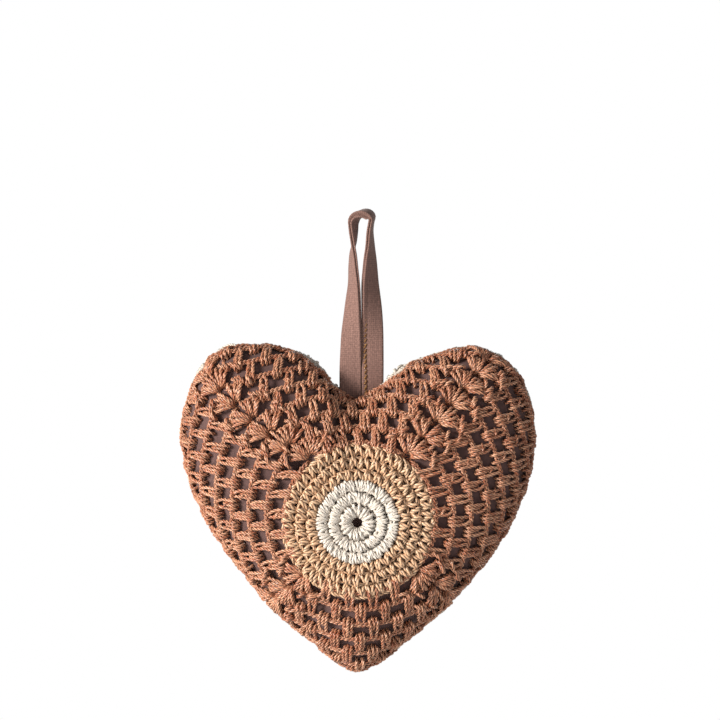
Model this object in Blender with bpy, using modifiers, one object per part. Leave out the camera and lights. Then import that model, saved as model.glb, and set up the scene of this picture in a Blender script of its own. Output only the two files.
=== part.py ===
"""Crochet heart on a hanging tape: a stuffed cloth heart in a crochet cover, hung by a loop in its cleft.

Metres, +Z up. The origin is the inside of the loop's top, where it rests on its peg.
The heart's face looks along -Y, and +X is to the right of someone who faces it.
The heart is described by bearings about its rosette, counted from +X towards +Z.
"""
import math

import bmesh
import bpy
import numpy as np

# Heart
HEART_WIDTH = 0.161
HEART_HEIGHT = 0.148
FRONT_DEPTH = 0.027
BACK_DEPTH = 0.025
DOME_POWER = 2.4          # how flat the middle of each face stays before it falls to the rim

# Crochet cover
COVER_WALL = 0.0026
DISC_RADIUS = 0.0190
RING_RADIUS = 0.0339
EYE_RADIUS = 0.0023
DISC_ROUNDS = 3
RING_ROUNDS = 3
ROUND_RELIEF = 0.0007     # how far the valley between two close rounds lies under their crests
ROSETTE_SEGMENTS = 24

FRONT_ROUNDS = 7
FRONT_CLUSTERS = 30
BACK_ROUNDS = 5
BACK_CLUSTERS = 20
BACK_START_RADIUS = 0.016
BAR_SHARE = 0.36          # share of an openwork round's height that its chain bar takes

# Cushion inside the cover
CUSHION_CLEARANCE = 0.0014
CUSHION_COLUMNS = 30
CUSHION_ROWS = 10

# Hanging tape
TAPE_WIDTH = 0.010
TAPE_THICKNESS = 0.0014
LOOP_DROP = 0.0834        # from the inside of the loop's top down to the heart's cleft
LOOP_HALF_SPAN = 0.0044   # from the loop's middle to the middle of a leg, at the bend
TAPE_TUCK = 0.0018        # how far the tape's ends reach down between the two panels
TAPE_ENDS_GAP = 0.0004    # between the tape's two ends, which lie side by side in the cleft
TAPE_ASIDE = 0.0004       # how far to the left of the loop's middle the two ends meet
LEG_STATIONS = 14
BEND_STATIONS = 9
NOD = math.radians(7)     # how far the tape's front edge hangs under its back edge

JOIN_GAP = 0.0003
SEAM_GROOVE = 0.0018      # width of the groove between the two panels' rims, outside
TAPE_ROOM = 0.0010        # what the rims keep clear of each side of the tape where they hold it
HOLD_ANGLE = math.radians(22)    # half the stretch of the rims, as a bearing, that parts round the tape
HOLD_BLEND = math.radians(8)     # the part of it in which they close up again
SHARP_ANGLE = math.radians(50)

# The outline's points, clockwise from the cleft, from the rosette as shares of the width and the height
CLEFT = (-0.003, 0.374)
OUTLINE = (
    (0.064, 0.415), (0.126, 0.480), (0.228, 0.520), (0.309, 0.539), (0.382, 0.517), (0.447, 0.462),
    (0.483, 0.388), (0.501, 0.275), (0.494, 0.168), (0.463, 0.058), (0.413, -0.052), (0.336, -0.165),
    (0.244, -0.272), (0.126, -0.382), (0.056, -0.440), (-0.003, -0.461), (-0.056, -0.437), (-0.124, -0.376),
    (-0.236, -0.275), (-0.320, -0.165), (-0.396, -0.055), (-0.449, 0.049), (-0.486, 0.168), (-0.497, 0.281),
    (-0.478, 0.373), (-0.444, 0.462), (-0.393, 0.520), (-0.272, 0.541), (-0.169, 0.518), (-0.110, 0.480),
    (-0.056, 0.407),
)
OUTLINE_STEPS = 16
PROFILE_STEPS = 160

# Where the rosette lies: the cleft comes under the loop, and the heart hangs a little to the left of it
CENTRE_ASIDE = 0.0022
CENTRE_X = -CENTRE_ASIDE
CENTRE_Z = -LOOP_DROP - CLEFT[1] * HEART_HEIGHT
CLEFT_BEARING = math.atan2(CLEFT[1] * HEART_HEIGHT, CLEFT[0] * HEART_WIDTH)

# The tape's turn, from facing front at its left end to facing front again at its right end
LEFT_END_TURN = 0.0
LEFT_BEND_TURN = math.radians(108)
RIGHT_BEND_TURN = math.radians(100)
RIGHT_END_TURN = math.pi
RIGHT_FLAT_SHARE = 0.25   # share of the right leg, from its end, that stays turned to the front
LEFT_END_X = -TAPE_ASIDE - (TAPE_WIDTH + TAPE_ENDS_GAP) / 2
RIGHT_END_X = -TAPE_ASIDE + (TAPE_WIDTH + TAPE_ENDS_GAP) / 2


def clear_scene():
    """Removes what the opened file holds."""
    for item in list(bpy.data.objects):
        bpy.data.objects.remove(item, do_unlink=True)


def smooth_outline():
    """Runs a cubic curve through the outline's points about the rosette, with a corner at the cleft."""
    points = np.array((CLEFT,) + OUTLINE + (CLEFT,)) * (HEART_WIDTH, HEART_HEIGHT)
    knots = np.concatenate(([0.0], np.cumsum(np.linalg.norm(np.diff(points, axis=0), axis=1))))
    slopes = np.gradient(points, knots, axis=0)
    curve = []
    for k in range(len(points) - 1):
        t = np.linspace(0, 1, OUTLINE_STEPS, endpoint=False)[:, None]
        span = knots[k + 1] - knots[k]
        curve.append((2 * t**3 - 3 * t**2 + 1) * points[k] + (t**3 - 2 * t**2 + t) * span * slopes[k]
                     + (3 * t**2 - 2 * t**3) * points[k + 1] + (t**3 - t**2) * span * slopes[k + 1])
    return np.concatenate(curve)


def as_polar(curve):
    """Turns a closed curve about the rosette into bearings that grow from 0 to a full turn, and radii."""
    bearings = np.arctan2(curve[:, 1], curve[:, 0]) % math.tau
    order = np.argsort(bearings)
    return bearings[order], np.linalg.norm(curve, axis=1)[order]


def inset_curve(curve, inset):
    """Moves a clockwise curve inwards, with a point straight under the cleft, where its two sides part."""
    ahead = np.roll(curve, -1, axis=0) - np.roll(curve, 1, axis=0)
    inward = np.stack((ahead[:, 1], -ahead[:, 0]), axis=1)
    inward /= np.linalg.norm(inward, axis=1)[:, None]
    moved = curve + inset * inward
    moved[0] = curve[0] - (0.0, inset)
    return moved


class Face:
    """One domed face of the heart, which falls back along a dome to a rim near the middle plane."""

    def __init__(self, polar_outline, depth, side, rim_lift):
        self.bearings, self.radii = polar_outline
        self.depth = depth
        self.side = side
        self.rim_lift = rim_lift

    def reach(self, bearing):
        """Gives the outline's radius at each bearing."""
        return np.interp(bearing, self.bearings, self.radii, period=math.tau)

    def point(self, bearing, radius):
        """Places points on the face: the depth is the dome's, one minus the share of the reach to a power."""
        share = np.clip(radius / self.reach(bearing), 0, 1)
        lift = self.rim_lift(bearing)
        depth = lift + (self.depth - lift) * np.sqrt(1 - share**DOME_POWER)
        return np.stack((CENTRE_X + radius * np.cos(bearing), self.side * depth,
                         CENTRE_Z + radius * np.sin(bearing)), axis=-1)

    def radius_along(self, bearing, start, shares):
        """Gives the radii that divide the way over the dome, from a start radius to the rim, by shares."""
        spread = np.sin(np.linspace(0, math.pi / 2, PROFILE_STEPS))
        columns = []
        for angle in bearing:
            radius = start + (self.reach(angle) - start) * spread
            walk = self.point(np.full_like(radius, angle), radius)
            length = np.concatenate(([0.0], np.cumsum(np.linalg.norm(np.diff(walk, axis=0), axis=1))))
            columns.append(np.interp(np.asarray(shares) * length[-1], length, radius))
        return np.array(columns).T

    def even_bearings(self, count, start):
        """Spaces bearings evenly along the curve halfway between a start circle and the rim."""
        angle = CLEFT_BEARING + np.linspace(0, math.tau, PROFILE_STEPS * 4)
        radius = (start + self.reach(angle)) / 2
        curve = np.stack((radius * np.cos(angle), radius * np.sin(angle)), axis=1)
        length = np.concatenate(([0.0], np.cumsum(np.linalg.norm(np.diff(curve, axis=0), axis=1))))
        return np.interp(np.linspace(0, length[-1], count, endpoint=False), length, angle)


def seam_lift(bearing):
    """Gives how far a panel's rim stays from the middle plane, which is more round the tape."""
    away = np.abs((bearing - CLEFT_BEARING + math.pi) % math.tau - math.pi)
    open_share = np.clip((HOLD_ANGLE - away) / HOLD_BLEND, 0, 1)
    held = TAPE_THICKNESS / 2 + TAPE_ROOM
    return SEAM_GROOVE / 2 + (held - SEAM_GROOVE / 2) * open_share


def cushion_lift(bearing):
    """Gives the cushion's half gap at the middle plane, where its two faces meet."""
    return np.zeros_like(bearing)


def material(name, color, roughness):
    """Makes a plain finish with the colour that the photograph shows."""
    finish = bpy.data.materials.new(name)
    finish.use_nodes = True
    shader = finish.node_tree.nodes["Principled BSDF"]
    shader.inputs["Base Color"].default_value = (*color, 1.0)
    shader.inputs["Roughness"].default_value = roughness
    shader.inputs["Metallic"].default_value = 0.0
    return finish


def add_mesh(name, mesh, collection, finish):
    """Puts a bmesh into a named object of the collection, shaded smooth up to a sharp angle."""
    data = bpy.data.meshes.new(name)
    mesh.to_mesh(data)
    mesh.free()
    item = bpy.data.objects.new(name, data)
    item.data.materials.append(finish)
    collection.objects.link(item)
    data.shade_smooth()
    data.set_sharp_from_angle(angle=SHARP_ANGLE)
    return item


def add_grid(mesh, points, closed=True, skip=None):
    """Adds a grid of quads between rows of points; skip tells the cells that stay open."""
    rows = [[mesh.verts.new(point) for point in row] for row in points]
    columns = len(rows[0]) if closed else len(rows[0]) - 1
    for i in range(len(rows) - 1):
        for j in range(columns):
            if skip and skip(i, j):
                continue
            k = (j + 1) % len(rows[0])
            mesh.faces.new((rows[i][j], rows[i][k], rows[i + 1][k], rows[i + 1][j]))
    return rows


def add_wall(item, thickness):
    """Gives an open surface its wall, which grows inwards from the outside that was modelled."""
    wall = item.modifiers.new("wall", "SOLIDIFY")
    wall.thickness = thickness
    wall.offset = -1.0
    wall.use_even_offset = True
    wall.use_rim = True
    return item


def turn_outwards(mesh, side):
    """Makes every face of an open panel look out of the heart."""
    mesh.normal_update()
    flattest = max(mesh.faces, key=lambda face: abs(face.normal.y))
    if flattest.normal.y * side < 0:
        for face in mesh.faces:
            face.normal_flip()


def openwork_shares(rounds):
    """Gives the shares of the way out where chain bars and stitches begin and end, with a bar at the rim."""
    pitch = 1 / (rounds + BAR_SHARE)
    shares = [0.0]
    for k in range(rounds):
        shares += [(k + BAR_SHARE) * pitch, (k + 1) * pitch]
    return shares + [1.0]


def openwork(mesh, face, rounds, clusters, start):
    """Adds rounds of chain bars, with clusters between them that stand over the holes of the round before."""
    bearings = face.even_bearings(2 * clusters, start)
    radii = face.radius_along(bearings, start, openwork_shares(rounds))
    points = [face.point(bearings, row) for row in radii]
    return add_grid(mesh, points, skip=lambda i, j: i % 2 == 1 and (j + i // 2) % 2 == 0)


def rippled_rings(face, inner, outer, rounds):
    """Gives the rows of close rounds: an edge, then a crest for each round and a valley between two."""
    bearings = CLEFT_BEARING + np.linspace(0, math.tau, ROSETTE_SEGMENTS, endpoint=False)
    rows = []
    for k in range(2 * rounds + 1):
        radius = np.full_like(bearings, inner + (outer - inner) * k / (2 * rounds))
        row = face.point(bearings, radius)
        if k % 2 == 0:
            row[:, 1] -= face.side * ROUND_RELIEF
        rows.append(row)
    return rows


def build_front_mesh(face, collection):
    """Brown openwork, from just outside the tan ring to the rim."""
    mesh = bmesh.new()
    openwork(mesh, face, FRONT_ROUNDS, FRONT_CLUSTERS, RING_RADIUS + JOIN_GAP)
    turn_outwards(mesh, face.side)
    yarn = material("brown_cotton_yarn", (0.42, 0.19, 0.10), 0.8)
    return add_wall(add_mesh("front_mesh", mesh, collection, yarn), COVER_WALL)


def build_rosette(face, collection):
    """Ecru disc with its eye, and the tan ring round it, both of close single crochet."""
    made = []
    for name, inner, outer, rounds, color in (
            ("centre_rounds", EYE_RADIUS, DISC_RADIUS, DISC_ROUNDS, (0.80, 0.76, 0.68)),
            ("ring_rounds", DISC_RADIUS + JOIN_GAP, RING_RADIUS, RING_ROUNDS, (0.63, 0.40, 0.19))):
        mesh = bmesh.new()
        add_grid(mesh, rippled_rings(face, inner, outer, rounds))
        turn_outwards(mesh, face.side)
        item = add_mesh(name, mesh, collection, material(name + "_yarn", color, 0.8))
        made.append(add_wall(item, COVER_WALL - ROUND_RELIEF))
    return made


def build_back_panel(face, collection):
    """Off-white back of the cover: a close middle, then openwork to the rim."""
    mesh = bmesh.new()
    rows = openwork(mesh, face, BACK_ROUNDS, BACK_CLUSTERS, BACK_START_RADIUS)
    middle = mesh.verts.new(face.point(np.zeros(1), np.zeros(1))[0])
    inner = rows[0]
    for j, vertex in enumerate(inner):
        mesh.faces.new((middle, inner[(j + 1) % len(inner)], vertex))
    bmesh.ops.recalc_face_normals(mesh, faces=mesh.faces)
    turn_outwards(mesh, face.side)
    yarn = material("off_white_yarn", (0.74, 0.71, 0.66), 0.8)
    return add_wall(add_mesh("back_panel", mesh, collection, yarn), COVER_WALL)


def build_cushion(front, back, collection):
    """Stuffed heart: the two domes, inset under the cover, and closed at the middle plane."""
    mesh = bmesh.new()
    bearings = front.even_bearings(CUSHION_COLUMNS, 0.0)
    shares = np.linspace(0, 1, CUSHION_ROWS + 1)[1:]
    front_rows = [front.point(bearings, row) for row in front.radius_along(bearings, 0.0, shares)]
    back_rows = [back.point(bearings, row) for row in back.radius_along(bearings, 0.0, shares)]
    rows = add_grid(mesh, front_rows + back_rows[-2::-1])
    for ring, face in ((rows[0], front), (rows[-1], back)):
        middle = mesh.verts.new(face.point(np.zeros(1), np.zeros(1))[0])
        for j, vertex in enumerate(ring):
            mesh.faces.new((middle, vertex, ring[(j + 1) % len(ring)]))
    bmesh.ops.recalc_face_normals(mesh, faces=mesh.faces)
    cloth = material("mauve_cotton_cloth", (0.16, 0.085, 0.075), 0.9)
    return add_mesh("cushion", mesh, collection, cloth)


def tape_stations():
    """Gives the tape's middle line and its turn: up the left leg, round the bend and down the right leg."""
    bend_z = -LOOP_HALF_SPAN + TAPE_THICKNESS / 2
    bottom = -LOOP_DROP
    climb = np.linspace(0, 1, LEG_STATIONS, endpoint=False)
    round_trip = np.linspace(0, 1, BEND_STATIONS)
    left_x = LEFT_END_X + (-LOOP_HALF_SPAN - LEFT_END_X) * climb
    right_x = RIGHT_END_X + (LOOP_HALF_SPAN - RIGHT_END_X) * climb
    leg_z = bottom + (bend_z - bottom) * climb
    x = np.concatenate((left_x, -LOOP_HALF_SPAN * np.cos(math.pi * round_trip), right_x[::-1]))
    z = np.concatenate((leg_z, bend_z + LOOP_HALF_SPAN * np.sin(math.pi * round_trip), leg_z[::-1]))
    right_climb = np.clip((climb - RIGHT_FLAT_SHARE) / (1 - RIGHT_FLAT_SHARE), 0, 1)
    turn = np.concatenate((LEFT_END_TURN + (LEFT_BEND_TURN - LEFT_END_TURN) * climb,
                           LEFT_BEND_TURN + (RIGHT_BEND_TURN - LEFT_BEND_TURN) * round_trip,
                           (RIGHT_END_TURN + (RIGHT_BEND_TURN - RIGHT_END_TURN) * right_climb)[::-1]))
    return x, z, turn


def build_hanging_loop(face, collection):
    """Woven tape: a strip that makes half a turn, with both ends tucked in at the cleft."""
    x, z, turn = tape_stations()
    middle = np.stack((x, np.zeros_like(x), z), axis=1)
    across = np.stack((np.cos(turn), -np.sin(turn), -math.tan(NOD) * np.sin(turn)), axis=1) * TAPE_WIDTH / 2
    edges = np.stack((middle - across, middle + across))
    for end in (0, -1):
        for edge in edges:
            edge[end, 2] = cleft_height(face, edge[end, 0]) - TAPE_TUCK
    mesh = bmesh.new()
    add_grid(mesh, edges, closed=False)
    cloth = material("mauve_cotton_tape", (0.32, 0.17, 0.14), 0.85)
    item = add_mesh("hanging_loop", mesh, collection, cloth)
    wall = add_wall(item, TAPE_THICKNESS).modifiers["wall"]
    wall.offset = 0.0
    return item


def cleft_height(face, x):
    """Gives the outline's height over a place in the cleft."""
    bearings = CLEFT_BEARING + np.linspace(-HOLD_ANGLE, HOLD_ANGLE, PROFILE_STEPS)
    rim = face.point(bearings, face.reach(bearings))
    return np.interp(x, rim[::-1, 0], rim[::-1, 2])


def main():
    """Builds the heart's six pieces."""
    clear_scene()
    collection = bpy.data.collections.new("crochet_heart")
    bpy.context.scene.collection.children.link(collection)
    curve = smooth_outline()
    outline = as_polar(curve)
    inset = COVER_WALL + CUSHION_CLEARANCE
    inner = as_polar(inset_curve(curve, inset))
    front = Face(outline, FRONT_DEPTH, -1, seam_lift)
    back = Face(outline, BACK_DEPTH, 1, seam_lift)
    build_cushion(Face(inner, FRONT_DEPTH - inset, -1, cushion_lift),
                  Face(inner, BACK_DEPTH - inset, 1, cushion_lift), collection)
    build_rosette(front, collection)
    build_front_mesh(front, collection)
    build_back_panel(back, collection)
    build_hanging_loop(front, collection)


main()
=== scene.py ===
"""Looks of the crochet heart: yarns worked as real stitches, the cushion's cloth and the folded tape.

Metres, +Z up. The heart's face looks along -Y. Places on the heart are given by a bearing about the rosette,
counted from +X towards +Z, and by the walk from the rosette's middle over the dome.
"""

import logging
import math
from dataclasses import dataclass, field, fields, replace
from enum import Enum

import bpy
import numpy as np
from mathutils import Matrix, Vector


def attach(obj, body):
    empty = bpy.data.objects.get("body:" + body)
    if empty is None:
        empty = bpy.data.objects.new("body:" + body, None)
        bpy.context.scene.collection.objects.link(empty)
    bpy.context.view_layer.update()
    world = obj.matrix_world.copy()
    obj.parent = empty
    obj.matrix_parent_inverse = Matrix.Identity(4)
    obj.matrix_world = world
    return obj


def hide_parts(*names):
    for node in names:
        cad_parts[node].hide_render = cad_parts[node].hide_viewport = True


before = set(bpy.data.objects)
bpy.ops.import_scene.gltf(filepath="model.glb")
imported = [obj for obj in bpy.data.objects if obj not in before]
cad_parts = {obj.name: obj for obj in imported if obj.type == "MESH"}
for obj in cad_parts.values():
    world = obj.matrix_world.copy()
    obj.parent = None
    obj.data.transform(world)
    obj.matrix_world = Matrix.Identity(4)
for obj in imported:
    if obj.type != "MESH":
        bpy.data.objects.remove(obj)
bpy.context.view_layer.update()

LOG = logging.getLogger("crochet_heart")
MM = 0.001
TURN = 2 * math.pi
ROUND_STEPS = 1440


def linear_colour(code: str) -> tuple[float, float, float, float]:
    """Turns an sRGB hex value into a linear colour.

    Args:
        code: six hex digits after a hash sign.

    Returns:
        Red, green, blue and an alpha of one.
    """
    shares = [int(code[i:i + 2], 16) / 255 for i in (1, 3, 5)]
    return (*(c / 12.92 if c <= 0.04045 else ((c + 0.055) / 1.055) ** 2.4 for c in shares), 1.0)


def spline_weights(controls: int, stations: int) -> np.ndarray:
    """Gives the weights that carry control points to stations on a smooth curve through them.

    Each stretch between two controls is a cubic. Its slope at a control is half the step between the
    control's neighbours.

    Args:
        controls: how many control points there are.
        stations: how many evenly spaced stations the curve gets.

    Returns:
        An array of stations by controls.
    """
    place = np.linspace(0, controls - 1, stations)
    first = np.minimum(place.astype(int), controls - 2)
    t = place - first
    shares = np.stack(((-t + 2 * t**2 - t**3) / 2, (2 - 5 * t**2 + 3 * t**3) / 2,
                       (t + 4 * t**2 - 3 * t**3) / 2, (t**3 - t**2) / 2), axis=1)
    weights = np.zeros((stations, controls))
    for k in range(4):
        np.add.at(weights, (np.arange(stations), np.clip(first + k - 1, 0, controls - 1)), shares[:, k])
    return weights


def unit(vectors: np.ndarray) -> np.ndarray:
    """Scales vectors on the last axis to length one."""
    return vectors / np.maximum(np.linalg.norm(vectors, axis=-1, keepdims=True), 1e-12)


def smooth_step(share: np.ndarray) -> np.ndarray:
    """Eases a share from 0 to 1, as three squares less two cubes."""
    share = np.clip(share, 0, 1)
    return share * share * (3 - 2 * share)


def waves(place: np.ndarray, rows: tuple[tuple[float, float, float], ...]) -> np.ndarray:
    """Sums sines of a place. Each row is a sine's height, its radians for a unit of place and its start."""
    return sum((height * np.sin(rate * place + start) for height, rate, start in rows), np.zeros_like(place))


def travelled(line: np.ndarray) -> np.ndarray:
    """Gives the length along a line of points up to each of them."""
    return np.concatenate(([0.0], np.cumsum(np.linalg.norm(np.diff(line, axis=0), axis=1))))


def ring_faces(strands: int, stations: int, sides: int) -> tuple[np.ndarray, np.ndarray]:
    """Joins rings of vertices along strands: a quad between neighbours, and a cap at each end.

    Args:
        strands: how many strands there are.
        stations: how many rings a strand has.
        sides: how many vertices a ring has.

    Returns:
        The quads and the caps, as rows of vertex indices.
    """
    index = np.arange(strands * stations * sides).reshape(strands, stations, sides)
    beside = np.roll(index, -1, axis=2)
    quads = np.stack((index[:, :-1], beside[:, :-1], beside[:, 1:], index[:, 1:]), axis=-1)
    return quads.reshape(-1, 4), np.concatenate((index[:, 0, ::-1], index[:, -1]))


def corner_uv(near: np.ndarray, far: np.ndarray, low: np.ndarray, high: np.ndarray) -> np.ndarray:
    """Gives the corners of quads their UVs.

    Args:
        near: each quad's place along the strand at its first ring.
        far: the place at its second ring.
        low: the place round the ring at its first side.
        high: the place at its second side.

    Returns:
        A pair for each corner, in the quads' order.
    """
    pairs = ((near, low), (near, high), (far, high), (far, low))
    return np.stack([np.stack(pair, axis=-1) for pair in pairs], axis=-2).reshape(-1, 2)


@dataclass
class Stations:
    """Places on the heart's skin, with the directions along the round, over the dome and off the skin."""

    point: np.ndarray
    along: np.ndarray
    outwards: np.ndarray
    normal: np.ndarray

    def raised(self, height: np.ndarray) -> np.ndarray:
        """Gives the points at a height off the skin."""
        return self.point + np.asarray(height)[..., None] * self.normal


class Face(Enum):
    """The two faces of the heart, by the sign of Y that each looks along."""

    FRONT = -1
    BACK = 1


@dataclass
class HeartForm:
    """The heart's skin: two domes over one outline, which meet at the middle plane.

    The near dome, of the front depth, is on the form's own face. The outline's points are shares of the
    width and the height, counted from the rosette's middle. An inset draws the whole skin inwards.
    """

    face: Face = Face.FRONT
    width: float = 0.161
    height: float = 0.148
    front_depth: float = 0.027
    back_depth: float = 0.025
    dome_power: float = 2.4
    inset: float = 0.0
    centre_x: float = -0.0022
    centre_z: float = -0.0834 - 0.374 * 0.148
    cleft: tuple[float, float] = (-0.003, 0.374)
    outline: tuple[tuple[float, float], ...] = (
        (0.064, 0.415), (0.127, 0.473), (0.229, 0.514), (0.308, 0.535), (0.381, 0.516), (0.447, 0.462),
        (0.483, 0.388), (0.501, 0.275), (0.494, 0.168), (0.463, 0.058), (0.413, -0.052), (0.336, -0.165),
        (0.244, -0.272), (0.126, -0.382), (0.056, -0.440), (-0.003, -0.461), (-0.056, -0.437),
        (-0.124, -0.376), (-0.236, -0.275), (-0.320, -0.165), (-0.396, -0.055), (-0.449, 0.049),
        (-0.486, 0.168), (-0.497, 0.281), (-0.478, 0.373), (-0.444, 0.462), (-0.393, 0.520),
        (-0.272, 0.541), (-0.169, 0.518), (-0.110, 0.480), (-0.056, 0.407),
    )
    outline_steps: int = 16
    table_rows: int = 48
    table_columns: int = 401
    table_margin: float = 0.02
    halvings: int = 30
    bearings: np.ndarray = field(init=False)
    radii: np.ndarray = field(init=False)
    table_radii: np.ndarray = field(init=False)
    front_walks: np.ndarray = field(init=False)
    back_walks: np.ndarray = field(init=False)
    profile: np.ndarray = field(init=False)

    def __post_init__(self) -> None:
        """Works out the outline and the table from walk to profile."""
        self.trace_outline()
        self.measure_domes()

    def trace_outline(self) -> None:
        """Runs a cubic curve through the outline's points, with a corner at the cleft.

        It is kept as bearings and radii. The inset moves each point at right angles to the curve, and the
        cleft straight down.
        """
        points = np.array((self.cleft,) + self.outline + (self.cleft,)) * (self.width, self.height)
        knots = travelled(points)
        slopes = np.gradient(points, knots, axis=0)
        t = np.linspace(0, 1, self.outline_steps, endpoint=False)[None, :, None]
        span = np.diff(knots)[:, None, None]
        curve = ((2 * t**3 - 3 * t**2 + 1) * points[:-1, None]
                 + (t**3 - 2 * t**2 + t) * span * slopes[:-1, None]
                 + (3 * t**2 - 2 * t**3) * points[1:, None]
                 + (t**3 - t**2) * span * slopes[1:, None])
        curve = curve.reshape(-1, 2)
        ahead = np.roll(curve, -1, axis=0) - np.roll(curve, 1, axis=0)
        moved = curve + self.inset * unit(np.stack((ahead[:, 1], -ahead[:, 0]), axis=1))
        moved[0] = curve[0] - (0.0, self.inset)
        bearings = np.arctan2(moved[:, 1], moved[:, 0]) % TURN
        order = np.argsort(bearings)
        self.bearings, self.radii = bearings[order], np.linalg.norm(moved, axis=1)[order]

    def dome(self, place: np.ndarray) -> tuple[np.ndarray, np.ndarray]:
        """Gives the profile from the front's middle (0) over the rim (1) to the back's middle (2).

        The share of the reach is a quarter-turn sine, and the depth is the root of one minus its power.

        Args:
            place: where on the profile.

        Returns:
            The share of the reach, and the depth, which is negative on the near dome.
        """
        share = np.sin(np.pi / 2 * place)
        drop = np.sqrt(np.maximum(1 - np.abs(share)**self.dome_power, 0))
        depth = np.where(place <= 1, -(self.front_depth - self.inset) * drop,
                         (self.back_depth - self.inset) * drop)
        return share, depth

    def measure_domes(self) -> None:
        """Tabulates the domes: for profiles of several reaches, the places that even steps come to."""
        self.table_radii = np.linspace(self.radii.min() * (1 - self.table_margin),
                                       self.radii.max() * (1 + self.table_margin), self.table_rows)
        place = np.linspace(0, 2, 2 * self.table_columns - 1)
        share, depth = self.dome(place)
        steps = np.hypot(np.diff(share)[None] * self.table_radii[:, None], np.diff(depth)[None])
        walk = np.concatenate((np.zeros((self.table_rows, 1)), np.cumsum(steps, axis=1)), axis=1)
        middle = self.table_columns - 1
        self.front_walks = walk[:, middle]
        self.back_walks = walk[:, -1] - walk[:, middle]
        even = np.linspace(0, 2, self.table_columns)
        eased = np.where(walk <= self.front_walks[:, None], walk / self.front_walks[:, None],
                         1 + (walk - self.front_walks[:, None]) / self.back_walks[:, None])
        self.profile = np.array([np.interp(even, row, place) for row in eased])

    def reach(self, bearing: np.ndarray) -> np.ndarray:
        """Gives the outline's radius at each bearing."""
        return np.interp(bearing, self.bearings, self.radii, period=TURN)

    def rim_walk(self, bearing: np.ndarray) -> np.ndarray:
        """Gives the walk from the rosette's middle to the rim."""
        return np.interp(self.reach(bearing), self.table_radii, self.front_walks)

    def profile_place(self, reach: np.ndarray, walk: np.ndarray) -> np.ndarray:
        """Reads the table between its rows and columns.

        Args:
            reach: the outline's radius at each place.
            walk: the walk to each place, which goes on over the rim.

        Returns:
            The place on the profile, from 0 to 2.
        """
        front = np.interp(reach, self.table_radii, self.front_walks)
        back = np.interp(reach, self.table_radii, self.back_walks)
        eased = np.where(walk <= front, walk / front, 1 + (walk - front) / back)
        row = (reach - self.table_radii[0]) / (self.table_radii[1] - self.table_radii[0])
        # Both stay a little short of the last index, so that there is always a next one.
        row = np.clip(row, 0, self.table_rows - 1.001)
        column = np.clip(eased / 2, 0, 1) * (self.table_columns - 1.001)
        i, j = row.astype(int), column.astype(int)
        u, v = row - i, column - j
        table = self.profile
        return ((1 - u) * ((1 - v) * table[i, j] + v * table[i, j + 1])
                + u * ((1 - v) * table[i + 1, j] + v * table[i + 1, j + 1]))

    def point(self, bearing: np.ndarray, walk: np.ndarray) -> np.ndarray:
        """Places points on the skin.

        Args:
            bearing: the points' bearings.
            walk: the points' walks, which may go on over the rim.

        Returns:
            The coordinates, on the last axis.
        """
        reach = self.reach(bearing)
        share, depth = self.dome(self.profile_place(reach, walk))
        return np.stack((self.centre_x + share * reach * np.cos(bearing), -self.face.value * depth,
                         self.centre_z + share * reach * np.sin(bearing)), axis=-1)

    def radius(self, bearing: np.ndarray, walk: np.ndarray) -> np.ndarray:
        """Gives the distance from the rosette's axis."""
        reach = self.reach(bearing)
        return np.maximum(self.dome(self.profile_place(reach, walk))[0] * reach, 1 * MM)

    def walk_to(self, bearing: np.ndarray, radius: np.ndarray) -> np.ndarray:
        """Finds the walk over the near dome that ends at a distance from the rosette's axis, by halving.

        Args:
            bearing: the places' bearings.
            radius: their distances from the axis.

        Returns:
            The walks.
        """
        reach = self.reach(bearing)
        low, high = np.zeros_like(reach), np.interp(reach, self.table_radii, self.front_walks)
        for _ in range(self.halvings):
            middle = (low + high) / 2
            short = self.dome(self.profile_place(reach, middle))[0] * reach < radius
            low, high = np.where(short, middle, low), np.where(short, high, middle)
        return (low + high) / 2

    def stations(self, bearing: np.ndarray, walk: np.ndarray) -> Stations:
        """Gives places on the skin with their three directions, from small steps along and outwards.

        Args:
            bearing: the places' bearings.
            walk: the places' walks.

        Returns:
            The places.
        """
        turn, step = 0.004, 0.15 * MM
        along = unit(self.point(bearing + turn, walk) - self.point(bearing - turn, walk))
        outwards = unit(self.point(bearing, walk + step) - self.point(bearing, walk - step))
        normal = -self.face.value * unit(np.cross(outwards, along))
        return Stations(self.point(bearing, walk), along, outwards, normal)


@dataclass
class Strands:
    """A batch of strands of equal station count: paths, and directions beside them.

    The sizes are half the thickness at each station, and the tones are each strand's own lightness.
    """

    paths: np.ndarray
    beside: np.ndarray
    size: np.ndarray
    tone: np.ndarray


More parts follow.
